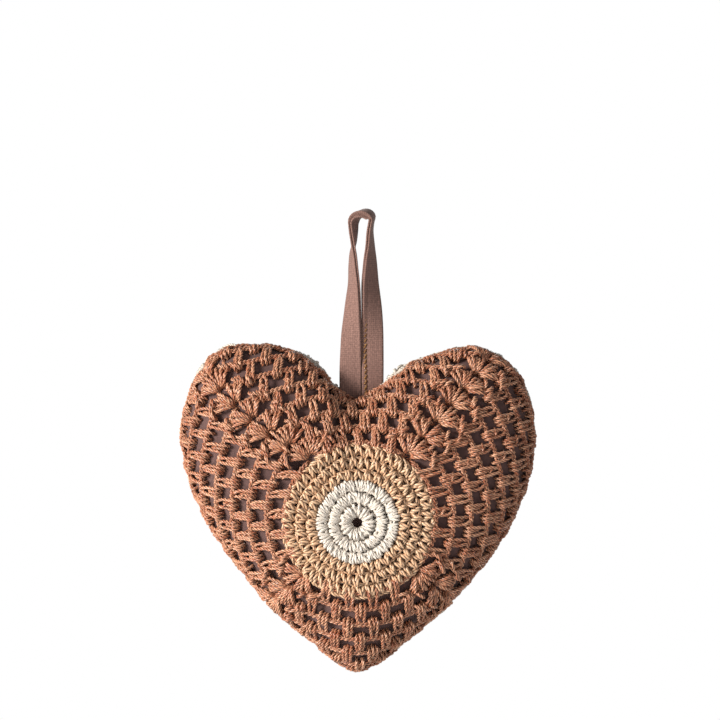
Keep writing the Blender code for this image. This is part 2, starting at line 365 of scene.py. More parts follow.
@dataclass
class YarnMesh:
    """Gathers strands and makes them one mesh of plied tubes: crests and creases in turn that wind round.

    The crease is a share of the radius at a ply's top, and the lay is the length in which a ply winds round
    once.
    """

    rng: np.random.Generator
    plies: int = 3
    crease: float = 0.74
    lay: float = 5.6 * MM
    lay_spread: float = 0.1
    start_lays: float = 10.0
    end_share: float = 0.6
    tone_spread: float = 0.6
    batches: list[Strands] = field(default_factory=list)

    def add(self, paths: np.ndarray, beside: np.ndarray, radius: float, swell: float = 0.0) -> None:
        """Adds strands. A swelling strand's size falls from its middle to its ends as a half-turn sine.

        Args:
            paths: strands by stations by coordinates.
            beside: a direction at each station that the strand doesn't run along.
            radius: half the strand's thickness.
            swell: the share of the radius that is lost at the ends.
        """
        tone = 0.5 + self.tone_spread * (self.rng.random(len(paths)) - 0.5)
        size = radius * (1 - swell * (1 - np.sin(np.linspace(0, math.pi, paths.shape[1]))))
        size[[0, -1]] *= self.end_share
        self.batches.append(Strands(paths, beside, size, tone))

    def tube(self, batch: Strands) -> tuple[np.ndarray, np.ndarray, np.ndarray, np.ndarray, np.ndarray]:
        """Carries a ring along each path: crests at the radius and creases at a share of it, in turn.

        The ring turns once in a lay's length, so its crests are the plies. The UV map holds the length and
        the share of the way round, which is a whole or half ply at a ply's top or at a crease.

        Args:
            batch: the strands to make.

        Returns:
            Vertices, quads, caps, UVs for each quad corner and tones for each vertex.
        """
        count, stations = batch.paths.shape[:2]
        sides = 2 * self.plies
        ahead = unit(np.gradient(batch.paths, axis=1))
        across = unit(batch.beside - (batch.beside * ahead).sum(-1, keepdims=True) * ahead)
        up = np.cross(ahead, across)
        steps = np.linalg.norm(np.diff(batch.paths, axis=1), axis=-1)
        length = np.concatenate((np.zeros((count, 1)), np.cumsum(steps, axis=1)), axis=1)
        stretch = self.rng.normal(1, self.lay_spread, (count, 1))
        start = self.rng.random((count, 1)) * self.start_lays * self.lay
        length = length * stretch + start
        turn = TURN * (np.arange(sides) / sides + length[..., None] / self.lay)
        star = np.where(np.arange(sides) % 2 == 0, 1.0, self.crease)
        ring = np.cos(turn)[..., None] * across[:, :, None] + np.sin(turn)[..., None] * up[:, :, None]
        vertices = batch.paths[:, :, None] + (batch.size[:, None] * star)[None, :, :, None] * ring
        quads, caps = ring_faces(count, stations, sides)
        shape = (count, stations - 1, sides)
        near, far = (np.broadcast_to(part[..., None], shape) for part in (length[:, :-1], length[:, 1:]))
        low, high = (np.broadcast_to(np.arange(first, first + sides) / sides, shape) for first in (0, 1))
        tones = np.repeat(batch.tone, stations * sides)
        return vertices.reshape(-1, 3), quads, caps, corner_uv(near, far, low, high), tones

    def build(self, name: str, finish: bpy.types.Material) -> bpy.types.Object:
        """Makes one object of all the strands that were added.

        Args:
            name: the piece's name.
            finish: the yarn's material.

        Returns:
            The new object.
        """
        made = [self.tube(batch) for batch in self.batches]
        starts = np.concatenate(([0], np.cumsum([len(part[0]) for part in made])[:-1])).astype(int)
        quads = np.concatenate([part[1] + start for part, start in zip(made, starts)])
        caps = np.concatenate([part[2] + start for part, start in zip(made, starts)])
        uv = np.concatenate([part[3] for part in made] + [np.zeros((caps.size, 2))])
        item = surface_object(name, np.concatenate([part[0] for part in made]), [quads, caps], uv, finish)
        tone = item.data.attributes.new("tone", "FLOAT", "POINT")
        tone.data.foreach_set("value", np.concatenate([part[4] for part in made]).astype(np.float32))
        return item


def surface_object(name: str, vertices: np.ndarray, faces: list[np.ndarray], uv: np.ndarray,
                   finish: bpy.types.Material) -> bpy.types.Object:
    """Makes a smooth-shaded object from arrays.

    Args:
        name: the object's name.
        vertices: rows of three coordinates, in place.
        faces: arrays of vertex indices, each array with faces of one corner count.
        uv: a pair for each face corner, in the faces' order.
        finish: the object's material.

    Returns:
        The new object, linked to the scene.
    """
    mesh = bpy.data.meshes.new(name)
    mesh.vertices.add(len(vertices))
    mesh.vertices.foreach_set("co", vertices.astype(np.float32).ravel())
    corners = np.concatenate([group.ravel() for group in faces])
    totals = np.concatenate([np.full(len(group), group.shape[1]) for group in faces])
    mesh.loops.add(len(corners))
    mesh.loops.foreach_set("vertex_index", corners.astype(np.int32))
    mesh.polygons.add(len(totals))
    mesh.polygons.foreach_set("loop_start", np.concatenate(([0], np.cumsum(totals)[:-1])).astype(np.int32))
    mesh.update(calc_edges=True)
    layer = mesh.uv_layers.new(name="UVMap")
    layer.data.foreach_set("uv", uv.astype(np.float32).ravel())
    mesh.shade_smooth()
    mesh.materials.append(finish)
    item = bpy.data.objects.new(name, mesh)
    bpy.context.scene.collection.objects.link(item)
    return item


def add_node(tree: bpy.types.NodeTree, kind: str, links: dict[str | int, object] | None = None,
             **settings: object) -> bpy.types.Node:
    """Adds a node with its settings and what feeds it.

    Args:
        tree: the material's node tree.
        kind: the node's type name.
        links: for each input, a socket to link or a plain value.
        settings: the node's own properties.

    Returns:
        The new node.
    """
    node = tree.nodes.new(kind)
    for key, value in settings.items():
        setattr(node, key, value)
    for key, value in (links or {}).items():
        if isinstance(value, bpy.types.NodeSocket):
            tree.links.new(value, node.inputs[key])
        else:
            node.inputs[key].default_value = value
    return node


def new_finish(name: str) -> tuple[bpy.types.Material, bpy.types.NodeTree, bpy.types.Node]:
    """Makes a node material with nothing but its shader.

    Args:
        name: the material's name.

    Returns:
        The material, its node tree and its shader.
    """
    material = bpy.data.materials.new(name)
    material.use_nodes = True
    return material, material.node_tree, material.node_tree.nodes["Principled BSDF"]


@dataclass(frozen=True)
class CottonYarn:
    """Plied, mercerised cotton: dark creases between the plies, bright streaks along them, and a soft gloss.

    A streak is drawn as wide as a ply, many fibres coarser than real, because single fibres are too fine
    to show. The crease colour is painted shade in the gaps between plies, the body is the yarn's own colour,
    and the painted highlight is a lighter colour laid on in the streaks.
    """

    name: str
    # painted shade: the crease colour is shade painted into the low places between plies
    crease: str
    body: str
    # painted highlight: a lighter colour laid on in streaks along the plies
    painted_highlight: str
    plies: int = 3
    ply_depth: float = 0.22 * MM
    streak_length: float = 3.0 * MM
    streaks_a_ply: float = 1.4
    streak_tone: float = 2.6
    painted_highlight_tones: tuple[float, float] = (1.3, 2.4)
    streak_relief: float = 0.5
    patch: float = 2.22 * MM
    patch_share: float = 0.8
    crease_shade_heights: tuple[float, float] = (0.50, 1.08)
    least_unshaded: float = 0.08
    roughness: float = 0.34
    sheen: float = 0.15
    sheen_roughness: float = 0.4

    def material(self) -> bpy.types.Material:
        """Builds the finish.

        A ply's height is the cosine of the way round, without its sign. Low places take the crease colour, a
        painted shade, unevenly from patch to patch. The streaks are noise drawn out along the strand. With
        the strand's own tone they mix the body's colour and the painted highlight colour.

        Returns:
            The material.
        """
        material, tree, shader = new_finish(self.name)
        uv = add_node(tree, "ShaderNodeUVMap", uv_map="UVMap")
        part = add_node(tree, "ShaderNodeSeparateXYZ", {0: uv.outputs["UV"]})
        phase = add_node(tree, "ShaderNodeMath", {0: part.outputs["Y"], 1: math.pi * self.plies},
                         operation="MULTIPLY")
        wave = add_node(tree, "ShaderNodeMath", {0: phase.outputs[0]}, operation="COSINE")
        ply = add_node(tree, "ShaderNodeMath", {0: wave.outputs[0]}, operation="ABSOLUTE")
        drawn_out = (1 / self.streak_length, self.streaks_a_ply * self.plies, 1.0)
        stretch = add_node(tree, "ShaderNodeMapping", {"Vector": uv.outputs["UV"], "Scale": drawn_out})
        streak = add_node(tree, "ShaderNodeTexNoise", {"Vector": stretch.outputs[0], "Scale": 1.0,
                                                       "Detail": 1.5})
        tone = add_node(tree, "ShaderNodeAttribute", attribute_name="tone")
        # Painted highlight: the streaks and the strand's own tone mix the highlight colour into the body
        # colour.
        mixed = add_node(tree, "ShaderNodeMath", {0: streak.outputs["Fac"], 1: self.streak_tone,
                                                  2: tone.outputs["Fac"]}, operation="MULTIPLY_ADD")
        low, high = self.painted_highlight_tones
        lift = add_node(tree, "ShaderNodeMapRange", {"Value": mixed.outputs[0], "From Min": low,
                                                     "From Max": high})
        cover = add_node(tree, "ShaderNodeMix", {"Factor": lift.outputs["Result"],
                                                 "A": linear_colour(self.body),
                                                 "B": linear_colour(self.painted_highlight)}, data_type="RGBA")
        place = add_node(tree, "ShaderNodeTexCoord")
        uneven = add_node(tree, "ShaderNodeTexNoise", {"Vector": place.outputs["Object"],
                                                       "Scale": 1 / self.patch, "Detail": 1.0})
        # Painted shade: a ply's low places, more of them in some patches, take the crease colour.
        depth = add_node(tree, "ShaderNodeMath", {0: uneven.outputs["Fac"], 1: self.patch_share,
                                                  2: ply.outputs[0]}, operation="MULTIPLY_ADD")
        low, high = self.crease_shade_heights
        out_of_crease_shade = add_node(tree, "ShaderNodeMapRange", {"Value": depth.outputs[0], "From Min": low,
                                                         "From Max": high, "To Min": self.least_unshaded})
        colour = add_node(tree, "ShaderNodeMix", {"Factor": out_of_crease_shade.outputs["Result"],
                                                  "A": linear_colour(self.crease),
                                                  "B": cover.outputs["Result"]}, data_type="RGBA")
        height = add_node(tree, "ShaderNodeMath", {0: streak.outputs["Fac"], 1: self.streak_relief,
                                                   2: ply.outputs[0]}, operation="MULTIPLY_ADD")
        bump = add_node(tree, "ShaderNodeBump", {"Height": height.outputs[0], "Distance": self.ply_depth,
                                                 "Strength": 1.0})
        tree.links.new(colour.outputs["Result"], shader.inputs["Base Color"])
        tree.links.new(bump.outputs["Normal"], shader.inputs["Normal"])
        shader.inputs["Roughness"].default_value = self.roughness
        shader.inputs["Sheen Weight"].default_value = self.sheen
        shader.inputs["Sheen Roughness"].default_value = self.sheen_roughness
        return material


@dataclass(frozen=True)
class WovenCotton:
    """Plain-woven cotton: over-and-under threads, matt, with slubs that give it a slightly uneven tone.

    The threads are drawn coarser than real, because the real weave is too fine to show. The weave lies along
    the piece's UV map, or else across the heart's face.
    """

    name: str
    dark: str
    light: str
    thread: float
    thread_depth: float
    weave_share: float = 0.05
    sheen: float = 0.15
    by_uv: bool = False
    slub_threads: float = 6.0
    bend_length: float = 11.1 * MM
    bend_depth: float = 1.2 * MM
    tone_range: tuple[float, float] = (-0.15, 1.15)
    roughness: float = 0.9

    def material(self) -> bpy.types.Material:
        """Builds the finish.

        Warp and weft are sines at right angles, a little bent by noise, and a thread's crown is where both
        are high. The slubs are a broader noise.

        Returns:
            The material.
        """
        material, tree, shader = new_finish(self.name)
        if self.by_uv:
            source = add_node(tree, "ShaderNodeUVMap", uv_map="UVMap").outputs["UV"]
            parts = ("X", "Y")
        else:
            source = add_node(tree, "ShaderNodeTexCoord").outputs["Object"]
            parts = ("X", "Z")
        bend = add_node(tree, "ShaderNodeTexNoise", {"Vector": source, "Scale": 1 / self.bend_length,
                                                     "Detail": 2.0})
        moved = add_node(tree, "ShaderNodeVectorMath", {0: bend.outputs["Color"], 1: (self.bend_depth,) * 3,
                                                        2: source}, operation="MULTIPLY_ADD")
        part = add_node(tree, "ShaderNodeSeparateXYZ", {0: moved.outputs[0]})
        threads = []
        for axis in parts:
            angle = add_node(tree, "ShaderNodeMath", {0: part.outputs[axis], 1: math.pi / self.thread},
                             operation="MULTIPLY")
            sine = add_node(tree, "ShaderNodeMath", {0: angle.outputs[0]}, operation="SINE")
            threads.append(sine.outputs[0])
        weave = add_node(tree, "ShaderNodeMath", {0: threads[0], 1: threads[1]}, operation="ADD")
        slub = add_node(tree, "ShaderNodeTexNoise", {"Vector": source,
                                                     "Scale": 1 / (self.slub_threads * self.thread),
                                                     "Detail": 3.0})
        shade = add_node(tree, "ShaderNodeMath", {0: weave.outputs[0], 1: self.weave_share,
                                                  2: slub.outputs["Fac"]}, operation="MULTIPLY_ADD")
        low, high = self.tone_range
        level = add_node(tree, "ShaderNodeMapRange", {"Value": shade.outputs[0], "From Min": low,
                                                      "From Max": high})
        colour = add_node(tree, "ShaderNodeMix", {"Factor": level.outputs["Result"],
                                                  "A": linear_colour(self.dark),
                                                  "B": linear_colour(self.light)}, data_type="RGBA")
        bump = add_node(tree, "ShaderNodeBump", {"Height": shade.outputs[0], "Distance": self.thread_depth,
                                                 "Strength": 0.8})
        tree.links.new(colour.outputs["Result"], shader.inputs["Base Color"])
        tree.links.new(bump.outputs["Normal"], shader.inputs["Normal"])
        shader.inputs["Roughness"].default_value = self.roughness
        shader.inputs["Sheen Weight"].default_value = self.sheen
        return material


@dataclass(frozen=True)
class Corner:
    """One of the four lines where the rounds turn, in degrees: where it starts and where it settles.

    The way to the settled bearing shrinks by an exponential of the rounds, at the rate of the give. The pitch
    is the walk of a round at the corner.
    """

    first: float
    settled: float
    pitch: float
    give: float = 1.2

    def bearing(self, rounds: float) -> float:
        """Gives the corner's bearing after some rounds."""
        return math.radians(self.settled + (self.first - self.settled) * math.exp(-rounds / self.give))


@dataclass(frozen=True)
class Bank:
    """One side between two corners: how many clusters its first round has, and how far apart its rounds are.

    Some clusters part into two posts from their base, and some are filled by a long strand in the middle.
    """

    name: str
    clusters: int
    pitch: float
    parted_share: float = 0.3
    filled_share: float = 0.2


@dataclass
class Clusters:
    """Where one side's clusters stand: the bearings and walks of their bases and tops.

    The room is a cluster's length along the round, and the corner tells the side's two ends.
    """

    base_bearing: np.ndarray
    base_walk: np.ndarray
    top_bearing: np.ndarray
    top_walk: np.ndarray
    room: np.ndarray
    corner: np.ndarray

    def kept(self, chosen: np.ndarray) -> "Clusters":
        """Gives the clusters that are chosen."""
        return Clusters(*(getattr(self, part.name)[chosen] for part in fields(self)))


@dataclass
class Lattice:
    """The openwork's plan: rounds that grow by one cluster a side, as in a granny square."""

    form: HeartForm
    corners: tuple[Corner, ...]
    banks: tuple[Bank, ...]
    start_radius: float
    start_shift: tuple[float, float]
    corner_sharpness: float = 2.3
    corner_gap: float = 0.12
    pitch_steps: int = 33
    bar_steps: int = 240

    def start_walk(self, bearing: np.ndarray) -> np.ndarray:
        """Gives the walk to the first bar, a circle a little off the rosette's middle.

        Args:
            bearing: the places' bearings.

        Returns:
            The walks.
        """
        shift_x, shift_z = self.start_shift
        radius = self.start_radius + shift_x * np.cos(bearing) + shift_z * np.sin(bearing)
        return self.form.walk_to(bearing, radius)

    def pitch(self, bearing: np.ndarray) -> np.ndarray:
        """Gives the walk of a round: the side's own at its middle, rising to the corner's by a power.

        Args:
            bearing: the places' bearings.

        Returns:
            The walks.
        """
        knots, values = [], []
        for k, (corner, bank) in enumerate(zip(self.corners, self.banks)):
            after = self.corners[(k + 1) % len(self.corners)]
            start, end = math.radians(corner.settled), math.radians(after.settled)
            if end < start:
                end += TURN
            share = np.linspace(0, 1, self.pitch_steps, endpoint=False)
            away = np.abs(2 * share - 1)**self.corner_sharpness
            edge = np.where(share < 0.5, corner.pitch, after.pitch)
            knots.append(start + (end - start) * share)
            values.append(bank.pitch + (edge - bank.pitch) * away)
        return np.interp(bearing, np.concatenate(knots), np.concatenate(values), period=TURN)

    def bar_walk(self, bearing: np.ndarray, rounds: float) -> np.ndarray:
        """Gives the walk to the bar that closes a round."""
        return self.start_walk(bearing) + rounds * self.pitch(bearing)

    def along_bar(self, side: int, rounds: int, shares: np.ndarray) -> tuple[np.ndarray, float]:
        """Divides one side of a bar by its length.

        Args:
            side: which side, counted from the first corner on.
            rounds: which bar.
            shares: the shares of the side's length.

        Returns:
            The bearings at the shares, and the side's length.
        """
        start = self.corners[side].bearing(rounds)
        end = self.corners[(side + 1) % len(self.corners)].bearing(rounds)
        if end < start:
            end += TURN
        bearing = np.linspace(start, end, self.bar_steps + 1)
        line = self.form.point(bearing, self.bar_walk(bearing, rounds))
        length = travelled(line)
        return np.interp(shares * length[-1], length, bearing), length[-1]

    def clusters(self, rounds: int, side: int) -> Clusters:
        """Plans one side of a round: clusters stand in the gaps of the bar before and share out the next bar.

        Args:
            rounds: the round, counted from 1.
            side: which side, counted from the first corner on.

        Returns:
            The clusters' places. The corner is 1 for the side's first cluster, -1 for its last and 0 between.
        """
        count = self.banks[side].clusters + rounds - 1
        number = np.arange(count)
        gap = self.corner_gap
        share = np.where((number == 0) | (number == count - 1), number / (count - 1),
                         (number + gap) / (count - 1 + 2 * gap))
        base, _ = self.along_bar(side, rounds - 1, share)
        top, length = self.along_bar(side, rounds, (number + 0.5 + gap) / (count + 2 * gap))
        corner = (number == 0).astype(float) - (number == count - 1)
        return Clusters(base, self.bar_walk(base, rounds - 1), top, self.bar_walk(top, rounds),
                        np.full(count, length / (count + 2 * gap)), corner)


@dataclass(frozen=True)
class Course:
    """A strand's way through a cluster, control by control.

    Outwards, a control lies at a fixed length plus a share of the cluster's height, its rise. Its spread is
    its length along the round, and its height is off the skin. All lengths are in millimetres.
    """

    fixed: tuple[float, ...]
    rise: tuple[float, ...]
    spread: tuple[float, ...]
    height: tuple[float, ...]
    stations: int
    thickness: float = 1.0
    swell: float = 0.0


# A post that wraps over the bar and stands straight at one side of its cluster.
STRAIGHT_POST = Course(
    fixed=(-2.1, -1.9, -0.9, 0.8, 0.0, 0.0, -0.3, 0.7),
    rise=(0, 0, 0, 0, 0.45, 0.78, 1, 1),
    spread=(1.35, 1.4, 1.45, 1.4, 1.25, 1.15, 0.7, 0.4),
    height=(-3.0, -1.3, 0.35, 0.2, -0.4, -0.8, -1.3, -2.8),
    stations=19)
# Its neighbour at the other side, which slants in at the top.
SLANTED_POST = Course(
    fixed=(-2.0, -1.8, -0.8, 0.9, 0.0, 0.0, -0.4, 0.6),
    rise=(0, 0, 0, 0, 0.40, 0.72, 1, 1),
    spread=(-1.35, -1.4, -1.45, -1.5, -1.6, -1.2, 0.0, 0.5),
    height=(-3.0, -1.3, 0.3, 0.1, -0.2, -0.1, -0.9, -2.8),
    stations=19)
# A short strand that wraps over the bar between two posts.
MIDDLE_WRAP = Course(
    fixed=(-2.3, -2.1, -1.0, 1.0, 0.0, 0.0),
    rise=(0, 0, 0, 0, 0.36, 0.52),
    spread=(0.0, 0.0, 0.0, 0.0, -0.1, -0.2),
    height=(-3.0, -1.3, 0.5, 0.3, -0.5, -2.4),
    stations=13)
# A strand that fills the room between two posts up to the next bar.
LONG_WRAP = Course(
    fixed=(-2.3, -2.1, -1.0, 1.0, 0.0, 0.0, -0.9),
    rise=(0, 0, 0, 0, 0.40, 0.78, 1.0),
    spread=(0.0, 0.0, 0.0, 0.0, -0.1, -0.3, -0.3),
    height=(-3.0, -1.3, 0.6, 0.5, 0.2, -0.3, -2.4),
    stations=17)
# The loop that lies across both posts.
YARN_OVER = Course(
    fixed=(0.0, 0.0, 0.0, 0.0, 0.0),
    rise=(0.20, 0.24, 0.38, 0.52, 0.58),
    spread=(-2.1, -1.6, 0.0, 1.6, 2.1),
    height=(-2.4, -0.9, 0.5, -0.7, -2.4),
    stations=10, thickness=0.8)
# A post of a parted cluster, which stands away from its mirror image.
OPEN_POST = Course(
    fixed=(-2.0, -1.9, -1.0, 0.8, 0.0, 0.0, 0.2, 0.9),
    rise=(0, 0, 0, 0, 0.42, 0.75, 1, 1),
    spread=(1.55, 1.55, 1.50, 1.45, 1.3, 1.0, 0.6, 0.4),
    height=(-3.2, -1.5, 0.3, 0.3, 0.1, -0.2, -0.9, -2.8),
    stations=19)
# A strand deep between the posts, which closes the gap between them.
INNER_FILL = Course(
    fixed=(-0.6, 0.0, 0.0, 0.0),
    rise=(0, 0.15, 0.42, 0.68),
    spread=(0.0, 0.0, 0.0, 0.0),
    height=(-2.6, -1.1, -1.3, -3.0),
    stations=8, thickness=1.2)
# A petal of a fan: out of the corner's hollow, up, and down again at the next bar.
PETAL = Course(
    fixed=(1.9, 2.2, 3.1, 0.0, 0.0, 0.0, 0.2),
    rise=(0, 0, 0, 0.56, 0.78, 0.94, 1.0),
    spread=(0.0,) * 7,
    height=(-4.8, -3.4, -1.0, 0.4, 0.6, -0.2, -2.6),
    stations=17, thickness=1.06, swell=0.30)
# A lower petal between two others.
UNDER_PETAL = Course(
    fixed=(2.4, 3.2, 0.0, 0.0, 0.0),
    rise=(0, 0, 0.6, 0.85, 1.0),
    spread=(0.0,) * 5,
    height=(-4.8, -3.0, -1.1, -1.0, -2.6),
    stations=9, thickness=1.15, swell=0.3)
# A grain of the knot at a fan's end, a short arch.
KNOT_GRAIN = Course(
    fixed=(-2.0, -1.6, 0.0, 1.6, 2.0),
    rise=(1, 1, 1, 1, 1),
    spread=(0.0,) * 5,
    height=(-1.7, 0.7, 1.6, 0.7, -1.7),
    stations=11, thickness=1.0)

# Each kind of cluster has rows of a course, the lanes that it is laid in and the share of clusters with it.
EYED_COURSES = ((STRAIGHT_POST, (1.0,), 1.0), (SLANTED_POST, (1.0,), 1.0), (MIDDLE_WRAP, (1.0,), 0.9),
                (YARN_OVER, (1.0,), 0.7), (INNER_FILL, (1.0,), 1.0))
FILLED_COURSES = ((STRAIGHT_POST, (1.0,), 1.0), (SLANTED_POST, (1.0,), 1.0), (LONG_WRAP, (1.0,), 1.0),
                  (YARN_OVER, (1.0,), 0.4), (INNER_FILL, (1.0,), 1.0))
OPEN_COURSES = ((OPEN_POST, (-1.0, 1.0), 1.0), (MIDDLE_WRAP, (1.0,), 0.75), (YARN_OVER, (1.0,), 0.3),
                (INNER_FILL, (1.0,), 1.0))


@dataclass(frozen=True)
class Unevenness:
    """How uneven the hand's stitches are: the usual departure of each angle in radians, length or share."""

    lean: float = 0.06
    petal_angle: float = 0.06
    petal_share: float = 0.06
    grain_angle: float = 0.05
    grain_run: float = 0.4
    ray: float = 0.08 * MM
    ray_height: float = 0.2 * MM
    walk: float = 0.2 * MM
    spread: float = 0.13 * MM
    control_spread: float = 0.09 * MM
    height: float = 0.13 * MM
    control_height: float = 0.10 * MM
    winding: float = 0.07 * MM


@dataclass(frozen=True)
class Winding:
    """Strands that wind about a line: how many, half a strand's thickness and the length of a full turn."""

    strands: int
    radius: float
    twist: float
    flatness: float = 0.75


@dataclass(frozen=True)
class EdgeCord:
    """A cord round the work's edge: how far inside it and off the skin it lies, and how its strands wind.

    Its height follows a share of the edge's bumps.
    """

    inset: float
    height: float
    winding: Winding
    bump_share: float = 0.0


@dataclass
class Openwork:
    """Crochet rounds on a lattice: chain bars, clusters that wrap over them, and fans at the corners.

    Petals and grains point away from straight outwards by angles in degrees, and a grain itself runs at an
    angle in radians. Each row of the drawn-in list is a bearing and a width in degrees, and a length that the
    edge is drawn in by. Each row of the bumps is a wave's height, its count in a turn and its start.
    """

    lattice: Lattice
    rng: np.random.Generator
    last_round: int
    cords: tuple[EdgeCord, ...]
    drawn_in: tuple[tuple[float, float, float], ...] = ()
    bumps: tuple[tuple[float, float, float], ...] = ()
    uneven: Unevenness = Unevenness()
    strand: float = 0.88 * MM
    usual_room: float = 9.2 * MM
    room_limits: tuple[float, float] = (0.8, 1.12)
    axis_limits: tuple[float, float] = (-0.15, 1.1)
    bar: Winding = Winding(2, 0.70 * MM, 4.2 * MM)
    bar_height: float = -0.6 * MM
    shortest_bar: int = 12
    corner_dip: float = 4.2 * MM
    corner_width: float = 2.6 * MM
    petal_share: float = 1.14
    petal_angles: tuple[float, ...] = (12.0, 24.0, 36.0, 48.0, 60.0)
    under_angles: tuple[float, ...] = (18.0, 30.0, 42.0, 54.0)
    grain_angles: tuple[float, ...] = (40.0, 50.0, 60.0, 70.0)
    grain_run: float = -0.15
    grain_shift: float = 1.4 * MM
    knot_room: float = 8.0 * MM
    fan_room: float = 5.0 * MM
    hollow_shift: float = 0.5 * MM
    longest_petal: float = 11.0 * MM
    search: tuple[float, float] = (4.0, 13.0)
    search_steps: int = 46
    rim_room: float = 1.5 * MM
    under_rim: float = 1.4 * MM
    rim_blend: float = 8.0 * MM
    rim_drop: float = 1.3 * MM
    step: float = 0.6 * MM
    least_steps: int = 6

    def rim(self, bearing: np.ndarray) -> np.ndarray:
        """Gives the walk to the work's edge: the heart's rim, less a bell curve where it is drawn in.

        Args:
            bearing: the places' bearings.

        Returns:
            The walks.
        """
        walk = self.lattice.form.rim_walk(bearing)
        for middle, width, depth in self.drawn_in:
            away = (np.degrees(bearing) - middle + 180) % 360 - 180
            walk = walk - depth * np.exp(-(away / width)**2)
        return walk

    def cluster_strands(self, mesh: YarnMesh, side: int) -> None:
        """Adds one side's clusters, round by round, as far as the rim.

        Args:
            mesh: where the strands go.
            side: which side, counted from the first corner on.
        """
        for rounds in range(1, self.last_round + 1):
            plan = self.lattice.clusters(rounds, side)
            plan = plan.kept(plan.base_walk < self.rim(plan.base_bearing) - self.rim_room)
            self.plain_clusters(mesh, plan.kept(plan.corner == 0), self.lattice.banks[side])
            clear = plan.base_walk < self.rim(plan.base_bearing) - self.fan_room
            self.fans(mesh, plan.kept((plan.corner != 0) & clear), rounds)

    def plain_clusters(self, mesh: YarnMesh, plan: Clusters, bank: Bank) -> None:
        """Adds clusters of two posts. They part from the base, or part round an eye, or are filled between.

        Args:
            mesh: where the strands go.
            plan: the clusters.
            bank: the side, which sets how many clusters part and how many are filled.
        """
        drawn = self.rng.random(len(plan.room))
        parted = drawn < bank.parted_share
        filled = drawn > 1 - bank.filled_share
        kinds = ((EYED_COURSES, ~parted & ~filled), (FILLED_COURSES, filled), (OPEN_COURSES, parted))
        for courses, kind in kinds:
            alike = plan.kept(kind)
            for course, lanes, share in courses:
                chosen = alike.kept(self.rng.random(len(alike.room)) < share)
                for lane in lanes:
                    if len(chosen.room):
                        self.lay(mesh, chosen, course, np.full(len(chosen.room), lane))

    def fans(self, mesh: YarnMesh, plan: Clusters, rounds: int) -> None:
        """Adds the corner clusters: each is a bundle of petals beside a hollow, with a knot of short grains.

        Args:
            mesh: where the strands go.
            plan: the corner clusters.
            rounds: the round that they belong to.
        """
        if not len(plan.room):
            return
        plan = replace(plan, base_walk=plan.base_walk + self.hollow_shift)
        draw, uneven = self.rng.normal, self.uneven
        lean = draw(0, uneven.lean, (len(plan.room), 1))
        for course, angles in ((PETAL, self.petal_angles), (UNDER_PETAL, self.under_angles)):
            for angle in angles:
                turned = math.radians(angle) + lean + draw(0, uneven.petal_angle, lean.shape)
                reach = self.petal_share * self.reach_bar(plan, turned, rounds)
                reach = np.minimum(reach, self.longest_petal) * draw(1, uneven.petal_share, lean.shape)
                self.ray(mesh, plan, course, turned, reach, turned)
        for angle in self.grain_angles:
            turned = math.radians(angle) + lean + draw(0, uneven.grain_angle, lean.shape)
            reach = np.minimum(self.reach_bar(plan, turned, rounds), self.longest_petal) + self.grain_shift
            run = self.grain_run + draw(0, uneven.grain_run, lean.shape)
            clear = self.clear_of_rim(plan, turned, reach)
            if clear.any():
                self.ray(mesh, plan.kept(clear), KNOT_GRAIN, turned[clear], reach[clear], run[clear])

    def clear_of_rim(self, plan: Clusters, turned: np.ndarray, reach: np.ndarray) -> np.ndarray:
        """Tells which directions from the corners end well inside the rim.

        Args:
            plan: the corner clusters.
            turned: the direction's angle from straight outwards.
            reach: the length in that direction.

        Returns:
            True or false for each cluster.
        """
        radius = self.lattice.form.radius(plan.base_bearing, plan.base_walk)
        bearing = plan.base_bearing + plan.corner * (reach * np.sin(turned))[:, 0] / radius
        walk = plan.base_walk + (reach * np.cos(turned))[:, 0]
        return walk < self.rim(bearing) - self.knot_room

    def reach_bar(self, plan: Clusters, turned: np.ndarray, rounds: int) -> np.ndarray:
        """Gives how far the next bar is from each corner in a direction, from steps along it.

        Args:
            plan: the corner clusters.
            turned: the direction's angle from straight outwards, for each cluster.
            rounds: the round that the bar closes.

        Returns:
            The lengths, as a column.
        """
        steps = np.linspace(*self.search, self.search_steps) * MM
        radius = self.lattice.form.radius(plan.base_bearing, plan.base_walk)[:, None]
        bearing = plan.base_bearing[:, None] + plan.corner[:, None] * steps * np.sin(turned) / radius
        beyond = plan.base_walk[:, None] + steps * np.cos(turned) > self.lattice.bar_walk(bearing, rounds)
        return np.where(beyond.any(axis=1), steps[np.argmax(beyond, axis=1)], steps[-1])[:, None]

    def ray(self, mesh: YarnMesh, plan: Clusters, course: Course, turned: np.ndarray, reach: np.ndarray,
            run: np.ndarray) -> None:
        """Puts a strand on its course along a direction from each corner.

        Args:
            mesh: where the strands go.
            plan: the corner clusters.
            course: the strand's way. Its rise is a share of the reach, and its fixed lengths follow the run.
            turned: the direction's angle from straight outwards.
            reach: the length that the rise is a share of.
            run: the angle that the fixed lengths are laid off at.
        """
        size = (len(plan.room), len(course.rise))
        far = np.array(course.rise) * reach
        near = np.array(course.fixed) * MM
        draw, uneven = self.rng.normal, self.uneven
        out = far * np.cos(turned) + near * np.cos(run) + draw(0, uneven.ray, size)
        aside = far * np.sin(turned) + near * np.sin(run) + draw(0, uneven.ray, size)
        height = np.array(course.height) * MM + draw(0, uneven.ray_height, (size[0], 1))
        bearing = np.broadcast_to(plan.base_bearing[:, None], size)
        walk = plan.base_walk[:, None] + out
        self.thread(mesh, bearing, plan.corner[:, None] * aside, walk, height, course)

